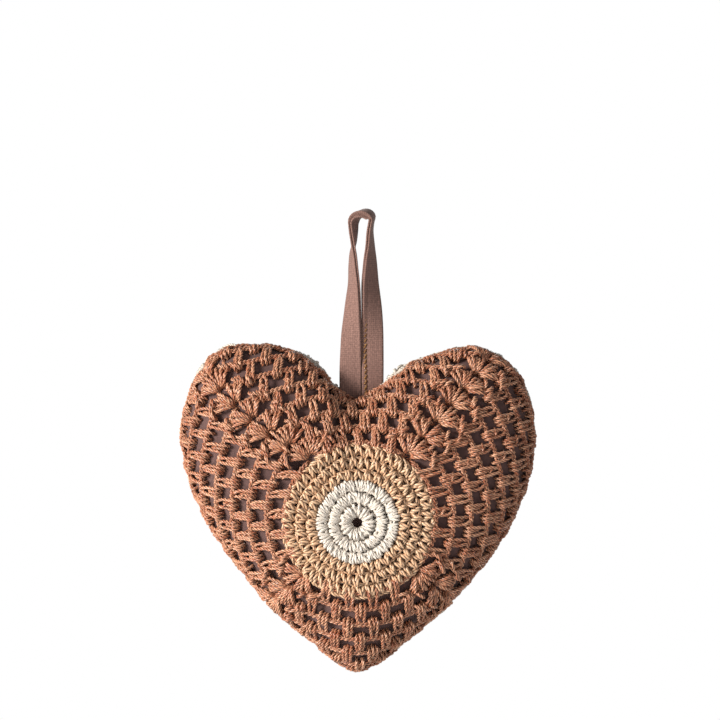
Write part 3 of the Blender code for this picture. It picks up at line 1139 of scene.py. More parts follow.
    def lay(self, mesh: YarnMesh, plan: Clusters, course: Course, lane: np.ndarray) -> None:
        """Puts a strand on its course through each cluster, with a little of the hand's unevenness.

        Args:
            mesh: where the strands go.
            plan: the clusters.
            course: the strand's way.
            lane: what the way's spread is multiplied by, for each cluster.
        """
        count, controls = len(plan.room), len(course.rise)
        base, top = plan.base_bearing[:, None], plan.top_bearing[:, None]
        low, tall = plan.base_walk[:, None], (plan.top_walk - plan.base_walk)[:, None]
        narrow = np.clip(plan.room / self.usual_room, *self.room_limits)[:, None]
        draw, uneven = self.rng.normal, self.uneven
        walk = np.array(course.fixed) * MM + np.array(course.rise) * tall
        walk = walk + draw(0, uneven.walk, (count, 1))
        spread = np.array(course.spread) * lane[:, None] * narrow * MM + draw(0, uneven.spread, (count, 1))
        spread = spread + draw(0, uneven.control_spread, (count, controls))
        height = np.array(course.height) * MM + draw(0, uneven.height, (count, 1))
        height = height + draw(0, uneven.control_height, (count, controls))
        axis = base + (top - base) * np.clip(walk / tall, *self.axis_limits)
        self.thread(mesh, axis, spread, low + walk, height, course)

    def thread(self, mesh: YarnMesh, bearing: np.ndarray, spread: np.ndarray, walk: np.ndarray,
               height: np.ndarray, course: Course) -> None:
        """Runs strands through controls on the skin. Near the rim they end under it and lie lower.

        Args:
            mesh: where the strands go.
            bearing: the controls' bearings.
            spread: the controls' lengths along the round from their bearings.
            walk: the controls' walks.
            height: the controls' heights off the skin.
            course: the strands' course, which sets their stations and thickness.
        """
        rim = self.rim(bearing)
        walk = np.minimum(walk, rim - self.under_rim)
        height = height - self.rim_drop * (1 - smooth_step((rim - walk) / self.rim_blend))
        places = self.lattice.form.stations(bearing + spread / self.lattice.form.radius(bearing, walk), walk)
        weights = spline_weights(walk.shape[1], course.stations)
        paths = np.einsum("sc,ncx->nsx", weights, places.raised(height))
        clear = places.normal if course is YARN_OVER else places.along
        beside = np.einsum("sc,ncx->nsx", weights, clear)
        mesh.add(paths, beside, self.strand * course.thickness, course.swell)

    def bar_strands(self, mesh: YarnMesh) -> None:
        """Adds the bars: strands that twist about each other along each bar, where it lies inside the rim.

        Args:
            mesh: where the strands go.
        """
        bearing = np.linspace(0, TURN, ROUND_STEPS + 1)
        for rounds in range(self.last_round + 1):
            walk = self.lattice.bar_walk(bearing, rounds)
            inside = walk < self.rim(bearing) - self.rim_room
            if not inside.any():
                continue
            turned = 0 if inside.all() else int(np.argmin(inside))
            order = np.arange(ROUND_STEPS + 1)
            if turned:
                order = (order + turned) % ROUND_STEPS
            height = self.bar_height - self.corner_dip * self.near_corner(bearing, walk, rounds)
            edges = np.flatnonzero(np.diff(np.concatenate(([0], inside[order].astype(int), [0]))))
            for first, last in edges.reshape(-1, 2):
                picked = order[first:last]
                if len(picked) > self.shortest_bar:
                    self.rope(mesh, np.unwrap(bearing[picked]), walk[picked], height[picked], self.bar)

    def near_corner(self, bearing: np.ndarray, walk: np.ndarray, rounds: int) -> np.ndarray:
        """Gives how near a bar's places are to its corners, as a bell curve from 1 at a corner to 0 far off.

        Args:
            bearing: the places' bearings.
            walk: the places' walks.
            rounds: which bar.

        Returns:
            The nearness of each place.
        """
        radius = self.lattice.form.radius(bearing, walk)
        near = np.zeros_like(bearing)
        for corner in self.lattice.corners:
            away = np.abs((bearing - corner.bearing(rounds) + math.pi) % TURN - math.pi) * radius
            near = np.maximum(near, np.exp(-(away / self.corner_width)**2))
        return near

    def edge_cords(self, mesh: YarnMesh) -> None:
        """Adds the cords along the edge, which goes in and out by its bumps.

        Args:
            mesh: where the strands go.
        """
        bearing = np.linspace(0, TURN, ROUND_STEPS + 1)
        bumps = waves(bearing, self.bumps)
        walk = self.rim(bearing) + bumps
        for cord in self.cords:
            self.rope(mesh, bearing, walk - cord.inset, cord.bump_share * bumps + cord.height, cord.winding)

    def rope(self, mesh: YarnMesh, bearing: np.ndarray, walk: np.ndarray, height: np.ndarray,
             winding: Winding) -> None:
        """Adds strands that wind about a line on the skin, each a turn's share from the next.

        Args:
            mesh: where the strands go.
            bearing: the line's bearings.
            walk: the line's walks.
            height: the line's heights off the skin.
            winding: the strands and how they wind.
        """
        line = self.lattice.form.point(bearing, walk)
        length = travelled(line)
        count = max(int(length[-1] / self.step), self.least_steps)
        even = np.linspace(0, length[-1], count)
        places = self.lattice.form.stations(np.interp(even, length, bearing), np.interp(even, length, walk))
        turns = max(round(length[-1] / winding.twist), 1)
        strands = winding.strands
        angle = TURN * (turns * even / length[-1] + np.arange(strands)[:, None] / strands)
        reach = winding.radius / math.sin(math.pi / strands)
        wander = self.rng.normal(0, self.uneven.winding, (strands, count))
        middle = places.raised(np.interp(even, length, height))
        paths = (middle[None] + (reach * np.cos(angle) + wander)[..., None] * places.outwards
                 + (reach * winding.flatness * np.sin(angle))[..., None] * places.normal)
        mesh.add(paths, np.broadcast_to(places.normal, paths.shape), winding.radius)


@dataclass(frozen=True)
class RoundShape:
    """How one yarn's single crochet looks: its legs, and the strands that run inside it.

    The lanes are the legs of a stitch, from -1 to 1 across its V. A leg's controls lie at shares of the
    round's depth, open by shares of the stitch's room, and have heights in millimetres. Raggedness is how
    much the legs differ in where they start and end, as a share of the round's depth.
    """

    lanes: tuple[float, ...]
    strand: float
    fill_shares: tuple[float, ...]
    fill_height: float
    braid_drop: float
    leg_height: tuple[float, ...]
    raggedness: float
    leg_share: tuple[float, ...] = (0.0, 0.10, 0.34, 0.64, 0.90, 1.0)
    leg_open: tuple[float, ...] = (0.03, 0.08, 0.20, 0.33, 0.42, 0.45)


RIBBED_ROUND = RoundShape(
    lanes=(-1.0, 1.0), strand=0.88 * MM, fill_shares=(0.4, 0.7), fill_height=-1.0 * MM, braid_drop=-2.1 * MM,
    leg_height=(-3.0, -1.6, -0.3, 0.2, 0.0, -1.6), raggedness=0.03,
    leg_open=(0.22, 0.24, 0.25, 0.25, 0.26, 0.25))
DENSE_ROUND = RoundShape(
    lanes=(-1.0, -0.34, 0.34, 1.0), strand=0.80 * MM, fill_shares=(0.30, 0.62), fill_height=-1.1 * MM,
    braid_drop=-2.1 * MM, leg_height=(-2.8, -1.5, -0.4, 0.1, 0.1, -1.1), raggedness=0.06,
    leg_open=(0.06, 0.12, 0.24, 0.35, 0.42, 0.43))
LEAFY_ROUND = RoundShape(
    lanes=(-1.0, 1.0), strand=1.18 * MM, fill_shares=(0.5, 0.8), fill_height=-2.6 * MM, braid_drop=-1.0 * MM,
    leg_height=(-3.8, -2.1, -0.7, 0.1, 0.2, -2.0), raggedness=0.06)


@dataclass
class Rosette:
    """Rounds of close single crochet, worked as one spiral that changes colour.

    An edge between two rounds is a radius and its growth over a turn, in millimetres. The lean and the sway
    are shares of a stitch's room that its top lies off its foot. The values that end in spread are how
    uneven the stitches are: shares of a stitch's room, millimetres for the lifts and a length for the walk.
    """

    form: HeartForm
    rng: np.random.Generator
    shape: RoundShape
    swell: float = 0.45
    fill_strand: float = 1.05 * MM
    fill_steps: int = 144
    join_bearing: float = math.radians(122)
    join_overlap: float = math.radians(9)
    lean: float = 0.2
    sway: float = 0.25
    place_spread: float = 0.07
    turn_spread: float = 0.2
    leg_spread: float = 0.03
    control_spread: float = 0.02
    lift_spread: float = 0.18
    leg_stations: int = 15
    braid_along: tuple[float, ...] = (-0.75, -0.45, 0.0, 0.45, 0.75)
    braid_height: tuple[float, ...] = (-1.8, -0.6, 0.0, -0.6, -1.8)
    braid_stations: int = 12
    braid_thickness: float = 0.8
    braid_spread: float = 0.05
    braid_walk_spread: float = 0.16 * MM
    braid_lift_spread: float = 0.12
    least_walk: float = 0.4 * MM

    def boundary(self, bearing: np.ndarray, radius: float, growth: float) -> np.ndarray:
        """Gives a round's edge: it grows by the share of a turn from the join, and eases back before it.

        Args:
            bearing: the places' bearings.
            radius: the edge's middle radius, in millimetres.
            growth: how much it grows in a turn, in millimetres.

        Returns:
            The distances from the rosette's axis.
        """
        turned = ((bearing - self.join_bearing) / TURN) % 1.0
        near = self.join_overlap / TURN
        return radius * MM + growth * MM * (turned * (1 - smooth_step((turned - 1 + near) / near)) - 0.5)

    def rounds(self, mesh: YarnMesh, edges: tuple[tuple[float, float], ...], counts: tuple[int, ...]) -> None:
        """Adds rounds from the inside out.

        Args:
            mesh: where the strands go.
            edges: the rounds' edges, one more than there are rounds.
            counts: how many stitches each round has.
        """
        for inner, outer, stitches in zip(edges[:-1], edges[1:], counts):
            self.round_strands(mesh, inner, outer, stitches)

    def round_strands(self, mesh: YarnMesh, inner: tuple[float, float], outer: tuple[float, float],
                      stitches: int) -> None:
        """Adds a round of single crochet: each stitch is a V of leaf-like legs with a loop at its outer end.

        Args:
            mesh: where the strands go.
            inner: the inner edge's radius and growth.
            outer: the outer edge's radius and growth.
            stitches: how many stitches the round has.
        """
        shape, draw = self.shape, self.rng.normal
        middle = self.join_bearing + TURN * (np.arange(stitches) + 0.5) / stitches
        middle = middle + draw(0, self.place_spread, stitches) * TURN / stitches
        low = self.form.walk_to(middle, self.boundary(middle, *inner))
        tall = self.form.walk_to(middle, self.boundary(middle, *outer)) - low
        room = TURN / stitches
        sway = self.sway * np.sin(2 * middle[:, None] + stitches)
        turned = self.lean + sway + draw(0, self.turn_spread, (stitches, 1))
        leg_share = np.array(shape.leg_share)
        for lane in shape.lanes:
            share = leg_share + draw(0, shape.raggedness, (stitches, 1))
            spread = lane * np.array(shape.leg_open) + turned * (leg_share - 0.5)
            spread = spread + draw(0, self.leg_spread, (stitches, 1))
            spread = spread + draw(0, self.control_spread, (stitches, len(leg_share)))
            lift = (np.array(shape.leg_height) + draw(0, self.lift_spread, (stitches, 1))) * MM
            walk = low[:, None] + tall[:, None] * share
            self.lay(mesh, middle[:, None] + room * spread, walk, lift, self.leg_stations, 1.0)
        self.braid(mesh, middle, low + tall, room, 0.0, shape.braid_drop, self.braid_thickness)
        self.fill(mesh, inner, outer)

    def fill(self, mesh: YarnMesh, inner: tuple[float, float], outer: tuple[float, float]) -> None:
        """Adds strands that run along the round under its stitches and lap over each other at the join.

        Args:
            mesh: where the strands go.
            inner: the inner edge's radius and growth.
            outer: the outer edge's radius and growth.
        """
        over = self.join_overlap
        bearing = self.join_bearing + np.linspace(-over, TURN + over, self.fill_steps + 1)
        low = self.form.walk_to(bearing % TURN, self.boundary(bearing, *inner))
        high = self.form.walk_to(bearing % TURN, self.boundary(bearing, *outer))
        walk = np.stack([low + share * (high - low) for share in self.shape.fill_shares])
        places = self.form.stations(np.broadcast_to(bearing, walk.shape), walk)
        mesh.add(places.raised(np.full(walk.shape, self.shape.fill_height)), places.normal, self.fill_strand)

    def braid(self, mesh: YarnMesh, middle: np.ndarray, walk: np.ndarray, room: float, slant: float,
              drop: float, thickness: float) -> None:
        """Adds a row of short strands that lie along a round and overlap, each an arch.

        Args:
            mesh: where the strands go.
            middle: the strands' bearings.
            walk: the strands' walks.
            room: the angle between strands.
            slant: how far a strand runs outwards from its middle to its end.
            drop: how far the row lies below the skin.
            thickness: the strand's share of the usual thickness.
        """
        size, draw = (len(middle), 1), self.rng.normal
        along = np.array(self.braid_along)
        bearing = middle[:, None] + room * (along + draw(0, self.braid_spread, size))
        line = walk[:, None] + slant * along / along[-1] + draw(0, self.braid_walk_spread, size)
        lift = drop + (np.array(self.braid_height) + draw(0, self.braid_lift_spread, size)) * MM
        self.lay(mesh, bearing, line, lift, self.braid_stations, thickness, along_round=True)

    def lay(self, mesh: YarnMesh, bearing: np.ndarray, walk: np.ndarray, height: np.ndarray, stations: int,
            thickness: float, along_round: bool = False) -> None:
        """Turns controls on the skin into strands that swell in their middles.

        Args:
            mesh: where the strands go.
            bearing: the controls' bearings.
            walk: the controls' walks.
            height: the controls' heights off the skin.
            stations: how many stations each strand gets.
            thickness: the strand's share of the usual thickness.
            along_round: whether the strand runs along the round.
        """
        places = self.form.stations(bearing, np.maximum(walk, self.least_walk))
        weights = spline_weights(bearing.shape[1], stations)
        paths = np.einsum("sc,ncx->nsx", weights, places.raised(height))
        beside = np.einsum("sc,ncx->nsx", weights, places.normal if along_round else places.along)
        mesh.add(paths, beside, self.shape.strand * thickness, self.swell)


@dataclass
class Cushion:
    """The stuffed cloth heart inside the cover, swollen a little against it and drawn in under the fans."""

    form: HeartForm
    columns: int = 220
    rows: int = 120
    fold_depth: float = 0.25 * MM
    fold_length: float = 4.3 * MM
    fold_waves: int = 9
    fold_shift: float = 2.0
    fold_shift_waves: int = 3
    eye_depth: float = 3.5 * MM
    eye_radius: float = 4.0 * MM
    rim_swell: float = 0.7 * MM
    rim_width: float = 6.0 * MM
    furrows: tuple[float, ...] = (51.4, 135.0, 221.8, 320.5)
    furrow_depth: float = 1.3 * MM
    furrow_width: float = 2.6 * MM
    furrow_start: float = 20 * MM
    furrow_blend: float = 15 * MM

    def build(self, finish: bpy.types.Material) -> bpy.types.Object:
        """Makes the closed skin: rows of even walk from the front's middle over the rim to the back's middle.

        Slight folds are a sine of the walk, shifted and faded by sines of the bearing. The rim swells, and
        the eye and the furrows under the fans sink, each as a bell curve.

        Args:
            finish: the cloth's material.

        Returns:
            The cushion.
        """
        bearing = np.linspace(0, TURN, self.columns, endpoint=False)
        reach = self.form.reach(bearing)
        total = (np.interp(reach, self.form.table_radii, self.form.front_walks)
                 + np.interp(reach, self.form.table_radii, self.form.back_walks))
        share = np.linspace(0, 1, self.rows + 2)[1:-1, None]
        grid_bearing = np.broadcast_to(bearing, (self.rows, self.columns))
        walk = share * total
        places = self.form.stations(grid_bearing, walk)
        shift = self.fold_shift * np.sin(self.fold_shift_waves * grid_bearing)
        fold = np.sin(walk / self.fold_length + shift) * np.cos(self.fold_waves * grid_bearing)
        dimple = self.eye_depth * np.exp(-(walk / self.eye_radius)**2)
        rim = self.rim_swell * np.exp(-((walk - self.form.rim_walk(grid_bearing)) / self.rim_width)**2)
        radius = self.form.radius(grid_bearing, walk)
        furrow = np.zeros_like(radius)
        for line in np.radians(self.furrows):
            away = np.abs((grid_bearing - line + math.pi) % TURN - math.pi) * radius
            furrow = np.maximum(furrow, np.exp(-(away / self.furrow_width)**2))
        furrow *= self.furrow_depth * smooth_step((radius - self.furrow_start) / self.furrow_blend)
        furrow *= walk < self.form.rim_walk(grid_bearing)
        points = places.raised(self.fold_depth * fold - dimple + rim - furrow)
        poles = self.form.point(np.zeros(2), np.array((0.0, total[0])))
        poles = poles + ((0.0, self.eye_depth, 0.0), (0.0, 0.0, 0.0))
        vertices = np.concatenate((points.reshape(-1, 3), poles))
        index = np.arange(self.rows * self.columns).reshape(self.rows, self.columns)
        beside = np.roll(index, -1, axis=1)
        quads = np.stack((index[:-1], index[1:], beside[1:], beside[:-1]), axis=-1).reshape(-1, 4)
        front, back = self.rows * self.columns, self.rows * self.columns + 1
        fans = np.concatenate((np.stack((np.full(self.columns, front), index[0], beside[0]), axis=1),
                               np.stack((np.full(self.columns, back), beside[-1], index[-1]), axis=1)))
        corners = np.concatenate((quads.ravel(), fans.ravel()))
        uv = vertices[corners][:, (0, 2)]
        return surface_object("cushion_cloth_heart", vertices, [quads, fans], uv, finish)


@dataclass
class HangingTape:
    """The folded woven tape, with both ends side by side in the cleft and half a turn between them.

    Each row of a leg is the open edge's x and z in millimetres and the tape's turn in degrees. Each row of
    the lip is an inset from the open edge in millimetres and a share of half the thickness. Along a stitch,
    the places are shares of its length, the heights are in millimetres and the sides are shares of the slant.
    """

    rng: np.random.Generator
    width: float = 10 * MM
    thickness: float = 2.0 * MM
    left_leg: tuple[tuple[float, float, float], ...] = (
        (-0.2, -85.0, -6), (-0.25, -70.7, 7), (-0.35, -57.2, 23), (-0.65, -48.2, 38), (-1.0, -39.1, 52),
        (-1.8, -30.1, 66), (-2.7, -21.9, 74), (-3.4, -16.5, 82), (-4.2, -12.0, 96), (-5.1, -7.5, 106),
        (-5.6, -3.9, 110))
    right_leg: tuple[tuple[float, float, float], ...] = (
        (3.8, -3.9, 98), (3.0, -8.4, 99), (2.6, -12.0, 102), (2.2, -16.5, 108), (1.4, -21.9, 119),
        (0.5, -30.1, 132), (0.1, -39.1, 146), (0.0, -48.2, 160), (-0.2, -57.2, 174), (-0.2, -64.0, 180),
        (-0.15, -70.7, 174), (-0.1, -85.0, 166))
    bend_rise: float = 3.1 * MM
    bend_nod: float = math.radians(7)
    left_nod: float = math.radians(-9)
    right_nod: float = math.radians(13)
    bend_rows: int = 15
    steps_a_row: int = 40
    stations: int = 220
    puff: float = 0.75
    edge_waves: tuple[tuple[float, float, float], ...] = (
        (0.12 * MM, 1 / (5.1 * MM), 0.0), (0.10 * MM, 1 / (2.3 * MM), 1.0))
    lip: tuple[tuple[float, float], ...] = (
        (0.5, -1.0), (0.1, -0.86), (0.0, -0.55), (0.15, -0.22), (1.2, 0.0),
        (0.15, 0.22), (0.0, 0.55), (0.1, 0.86), (0.5, 1.0))
    flat_insets: tuple[float, float] = (1.2 * MM, 1.4 * MM)
    flat_points: int = 9
    crown: float = 0.08
    groove: float = 0.8
    fold_points: int = 7
    stitch: float = 2.0 * MM
    stitch_gap: float = 0.35 * MM
    first_stitch: float = 1 * MM
    stitch_inset: float = 1.6 * MM
    stitch_slant: float = 0.5 * MM
    stitch_places: tuple[float, ...] = (0.0, 0.12, 0.5, 0.88, 1.0)
    stitch_heights: tuple[float, ...] = (-0.45, 0.0, 0.2, 0.0, -0.45)
    stitch_sides: tuple[float, ...] = (-1.0, -0.8, 0.0, 0.8, 1.0)
    stitch_stations: int = 9
    stitch_seat: float = 0.85
    stitch_sink: float = 0.64 * MM
    clear_from: float = -0.040
    clear_blend: float = 0.025
    line_stations: int = 2000
    thread: float = 0.56 * MM
    thread_crease: float = 0.8
    thread_lay: float = 1.6 * MM

    def open_edge(self) -> np.ndarray:
        """Gives the open edge's way: up the left leg, round the bend as half an ellipse and down the right.

        Returns:
            Rows of x, z, turn in radians, and the share of the bend that is behind.
        """
        left, right = np.array(self.left_leg), np.array(self.right_leg)
        over = np.linspace(0, 1, self.bend_rows)[1:-1]
        middle, half = (left[-1, 0] + right[0, 0]) / 2, (right[0, 0] - left[-1, 0]) / 2
        bend = np.stack((middle - half * np.cos(math.pi * over),
                         left[-1, 1] + self.bend_rise / MM * np.sin(math.pi * over),
                         left[-1, 2] + (right[0, 2] - left[-1, 2]) * over), axis=1)
        rows = np.concatenate((left, bend, right)) * (MM, MM, math.pi / 180)
        share = np.concatenate((np.zeros(len(left)), over, np.ones(len(right))))
        return np.column_stack((rows, share))

    def centre_line(self, count: int) -> tuple[np.ndarray, np.ndarray, np.ndarray]:
        """Gives the tape's middle line: it lies half a width from the open edge, across the tape as it turns.

        Args:
            count: how many even stations there are.

        Returns:
            The points, the direction across the tape towards its open edge, and the bend's share at each.
        """
        rows = self.open_edge()
        smooth = spline_weights(len(rows), self.steps_a_row * len(rows)) @ rows
        length = travelled(smooth[:, :2])
        even = np.linspace(0, length[-1], count)
        x, z, turn, over = (np.interp(even, length, smooth[:, k]) for k in range(4))
        nod = np.tan(self.left_nod + (self.right_nod - self.left_nod) * over
                     + self.bend_nod * np.sin(math.pi * over))
        across = unit(np.stack((np.cos(turn), -np.sin(turn), -nod * np.sin(turn)), axis=1))
        middle = np.stack((x, np.zeros_like(x), z), axis=1) - self.width / 2 * across * (1, 0, 1)
        return middle, across, over

    def directions(self, line: np.ndarray, across: np.ndarray) -> tuple[np.ndarray, np.ndarray]:
        """Makes the directions across the tape square to its line, and gives those off its outer face.

        Args:
            line: the points of the middle line.
            across: a direction across the tape at each.

        Returns:
            The directions across the tape and off its face.
        """
        ahead = unit(np.gradient(line, axis=0))
        off = unit(np.cross(across, ahead))
        return unit(np.cross(ahead, off)), off

    def section(self) -> np.ndarray:
        """Gives the cross-section: a folded strip, open with a groove at one edge and round at the other.

        Its flats are crowned by a half-turn sine and drawn in along the topstitching.

        Returns:
            Rows of a place across the tape and a height off its middle.
        """
        half, thick = self.width / 2, self.thickness / 2
        lip = np.array([(half - inset * MM, thick * share) for inset, share in self.lip])
        open_inset, folded_inset = self.flat_insets
        flats = np.linspace(half - open_inset, -half + folded_inset, self.flat_points)
        crown = thick * (1 + self.crown * np.sin(np.linspace(0, math.pi, self.flat_points)))
        crown[1] *= self.groove
        fold = np.linspace(math.pi / 2, 3 * math.pi / 2, self.fold_points)
        edge = np.stack((-half + thick + thick * np.cos(fold), thick * np.sin(fold)), axis=1)
        top = np.stack((flats, crown), axis=1)
        bottom = np.stack((flats[::-1], -crown[::-1]), axis=1)
        return np.concatenate((lip, top, edge, bottom))

    def build(self, finish: bpy.types.Material) -> bpy.types.Object:
        """Carries the section along the middle line, with slight waves in its edges, and closes both ends.

        Args:
            finish: the tape's material.

        Returns:
            The tape.
        """
        line, across, over = self.centre_line(self.stations)
        across, off = self.directions(line, across)
        section = self.section()
        count = len(section)
        puff = 1 + self.puff * np.sin(math.pi * over)
        travel = travelled(line)
        wave = waves(travel, self.edge_waves)
        points = (line[:, None] + section[None, :, :1] * across[:, None]
                  + (section[None, :, 1:] * puff[:, None, None]
                     + wave[:, None, None] * np.abs(section[None, :, :1]) / self.width) * off[:, None])
        around = travelled(section)
        closing = around[-1] + np.linalg.norm(section[0] - section[-1])
        shape = (self.stations - 1, count)
        near, far = (np.broadcast_to(part[:, None], shape) for part in (travel[:-1], travel[1:]))
        low, high = (np.broadcast_to(part, shape) for part in (around, np.append(around[1:], closing)))
        uv = np.concatenate((corner_uv(near, far, low, high), np.zeros((2 * count, 2))))
        quads, caps = ring_faces(1, self.stations, count)
        return surface_object("hanging_tape", points.reshape(-1, 3), [quads, caps], uv, finish)

    def length(self) -> float:
        """Gives the tape's length along its middle line."""
        line = self.centre_line(self.stations)[0]
        return float(np.linalg.norm(np.diff(line, axis=0), axis=1).sum())

    def topstitching(self, finish: bpy.types.Material) -> bpy.types.Object:
        """Adds a row of small arched stitches along the open edge, on both faces.

        They sink into the cloth, except low on the right leg.

        Args:
            finish: the thread's material.

        Returns:
            The row of stitches.
        """
        mesh = YarnMesh(self.rng, plies=2, crease=self.thread_crease, lay=self.thread_lay)
        line, across, over = self.centre_line(self.line_stations)
        across, off = self.directions(line, across)
        travel = travelled(line)
        start = np.arange(self.first_stitch, travel[-1] - self.stitch, self.stitch + self.stitch_gap)
        place = start[:, None] + self.stitch * np.array(self.stitch_places)
        middle, towards, outer = (np.stack([np.interp(place, travel, part[:, k]) for k in range(3)], axis=-1)
                                  for part in (line, across, off))
        bend = np.interp(place, travel, over)
        clear = bend * smooth_step((self.clear_from - middle[..., 2]) / self.clear_blend)
        height = np.array(self.stitch_heights) * MM - self.stitch_sink * (1 - clear)
        thick = self.thickness / 2 * (1 + self.puff * np.sin(math.pi * bend))
        seat = (thick * self.stitch_seat + height)[..., None]
        slant = self.stitch_slant * np.array(self.stitch_sides)[:, None]
        weights = spline_weights(len(self.stitch_places), self.stitch_stations)
        for face in (-1, 1):
            beside = self.width / 2 - self.stitch_inset + face * slant
            controls = middle + beside * towards + face * seat * outer
            mesh.add(np.einsum("sc,ncx->nsx", weights, controls), np.einsum("sc,ncx->nsx", weights, outer),
                     self.thread)
        return mesh.build("tape_topstitching", finish)


@dataclass(frozen=True)
class Lamp:
    """A soft square light that looks at the heart."""

    name: str
    place: tuple[float, float, float]
    size: float
    power: float
    colour: str = "#FFFFFF"


@dataclass
class Studio:
    """Pale floor, soft lights and the camera of the photograph. A pixel is its real size at the heart."""

    pixel: float = 0.452 * MM
    image: int = 720
    origin_pixel: tuple[float, float] = (362.0, 213.6)
    distance: float = 2.0
    clip: tuple[float, float] = (0.05, 100.0)
    room_light: float = 0.30
    floor_drop: float = 0.42
    floor_radius: float = 2.0
    floor_sides: int = 96
    floor_colour: str = "#F8F8F7"
    floor_roughness: float = 0.9
    lamp_target: tuple[float, float, float] = (0.0, 0.0, -0.1)
    lamps: tuple[Lamp, ...] = (
        Lamp("key", (-1.7, -1.2, 0.28), 0.6, 78.0, "#FFFAF4"),
        Lamp("fill", (1.4, -1.5, -0.4), 1.4, 8.5, "#F4F8FF"),
        Lamp("back", (0.0, 2.0, 0.4), 1.4, 15.0),
    )

    def set_floor(self) -> None:
        """Adds the floor, a round sheet of matt, nearly white paper that lies lower than the camera sees."""
        bpy.ops.mesh.primitive_circle_add(vertices=self.floor_sides, radius=self.floor_radius,
                                          fill_type="NGON", location=(0.0, 0.0, -self.floor_drop))
        floor = bpy.context.active_object
        floor.name = "studio_floor"
        material, _, shader = new_finish("pale_studio_paper")
        shader.inputs["Base Color"].default_value = linear_colour(self.floor_colour)
        shader.inputs["Roughness"].default_value = self.floor_roughness
        floor.data.materials.append(material)

    def set_world(self) -> None:
        """Gives the room a white background, which lights the heart less than it shows."""
        world = bpy.data.worlds.new("white_room")
        bpy.context.scene.world = world
        world.use_nodes = True
        tree = world.node_tree
        tree.nodes.clear()
        sight = add_node(tree, "ShaderNodeLightPath")
        strength = add_node(tree, "ShaderNodeMapRange", {"Value": sight.outputs["Is Camera Ray"],
                                                         "To Min": self.room_light, "To Max": 1.0})
        back = add_node(tree, "ShaderNodeBackground", {"Color": (1, 1, 1, 1),
                                                       "Strength": strength.outputs["Result"]})
        add_node(tree, "ShaderNodeOutputWorld", {"Surface": back.outputs[0]})
        bpy.context.scene.view_settings.view_transform = "Standard"

    def set_lamps(self) -> None:
        """Hangs the lamps and turns them to their target."""
        for lamp in self.lamps:
            light = bpy.data.lights.new(lamp.name, "AREA")
            light.size = lamp.size
            light.energy = lamp.power
            light.color = linear_colour(lamp.colour)[:3]
            item = bpy.data.objects.new(lamp.name, light)
            item.location = lamp.place
            sight = Vector(self.lamp_target) - Vector(lamp.place)
            item.rotation_euler = sight.to_track_quat("-Z", "Y").to_euler()
            bpy.context.scene.collection.objects.link(item)

    def set_camera(self) -> None:
        """Sets the camera straight on, so that a pixel covers its real size at the heart's middle plane."""
        camera = bpy.data.cameras.new("photo_camera")
        item = bpy.data.objects.new("photo_camera", camera)
        camera.lens = camera.sensor_width * self.distance / (self.image * self.pixel)
        camera.clip_start, camera.clip_end = self.clip
        middle_x = (self.image / 2 - self.origin_pixel[0]) * self.pixel
        middle_z = (self.origin_pixel[1] - self.image / 2) * self.pixel
        item.location = (middle_x, -self.distance, middle_z)
        item.rotation_euler = (math.pi / 2, 0.0, 0.0)
        bpy.context.scene.collection.objects.link(item)
        bpy.context.scene.camera = item


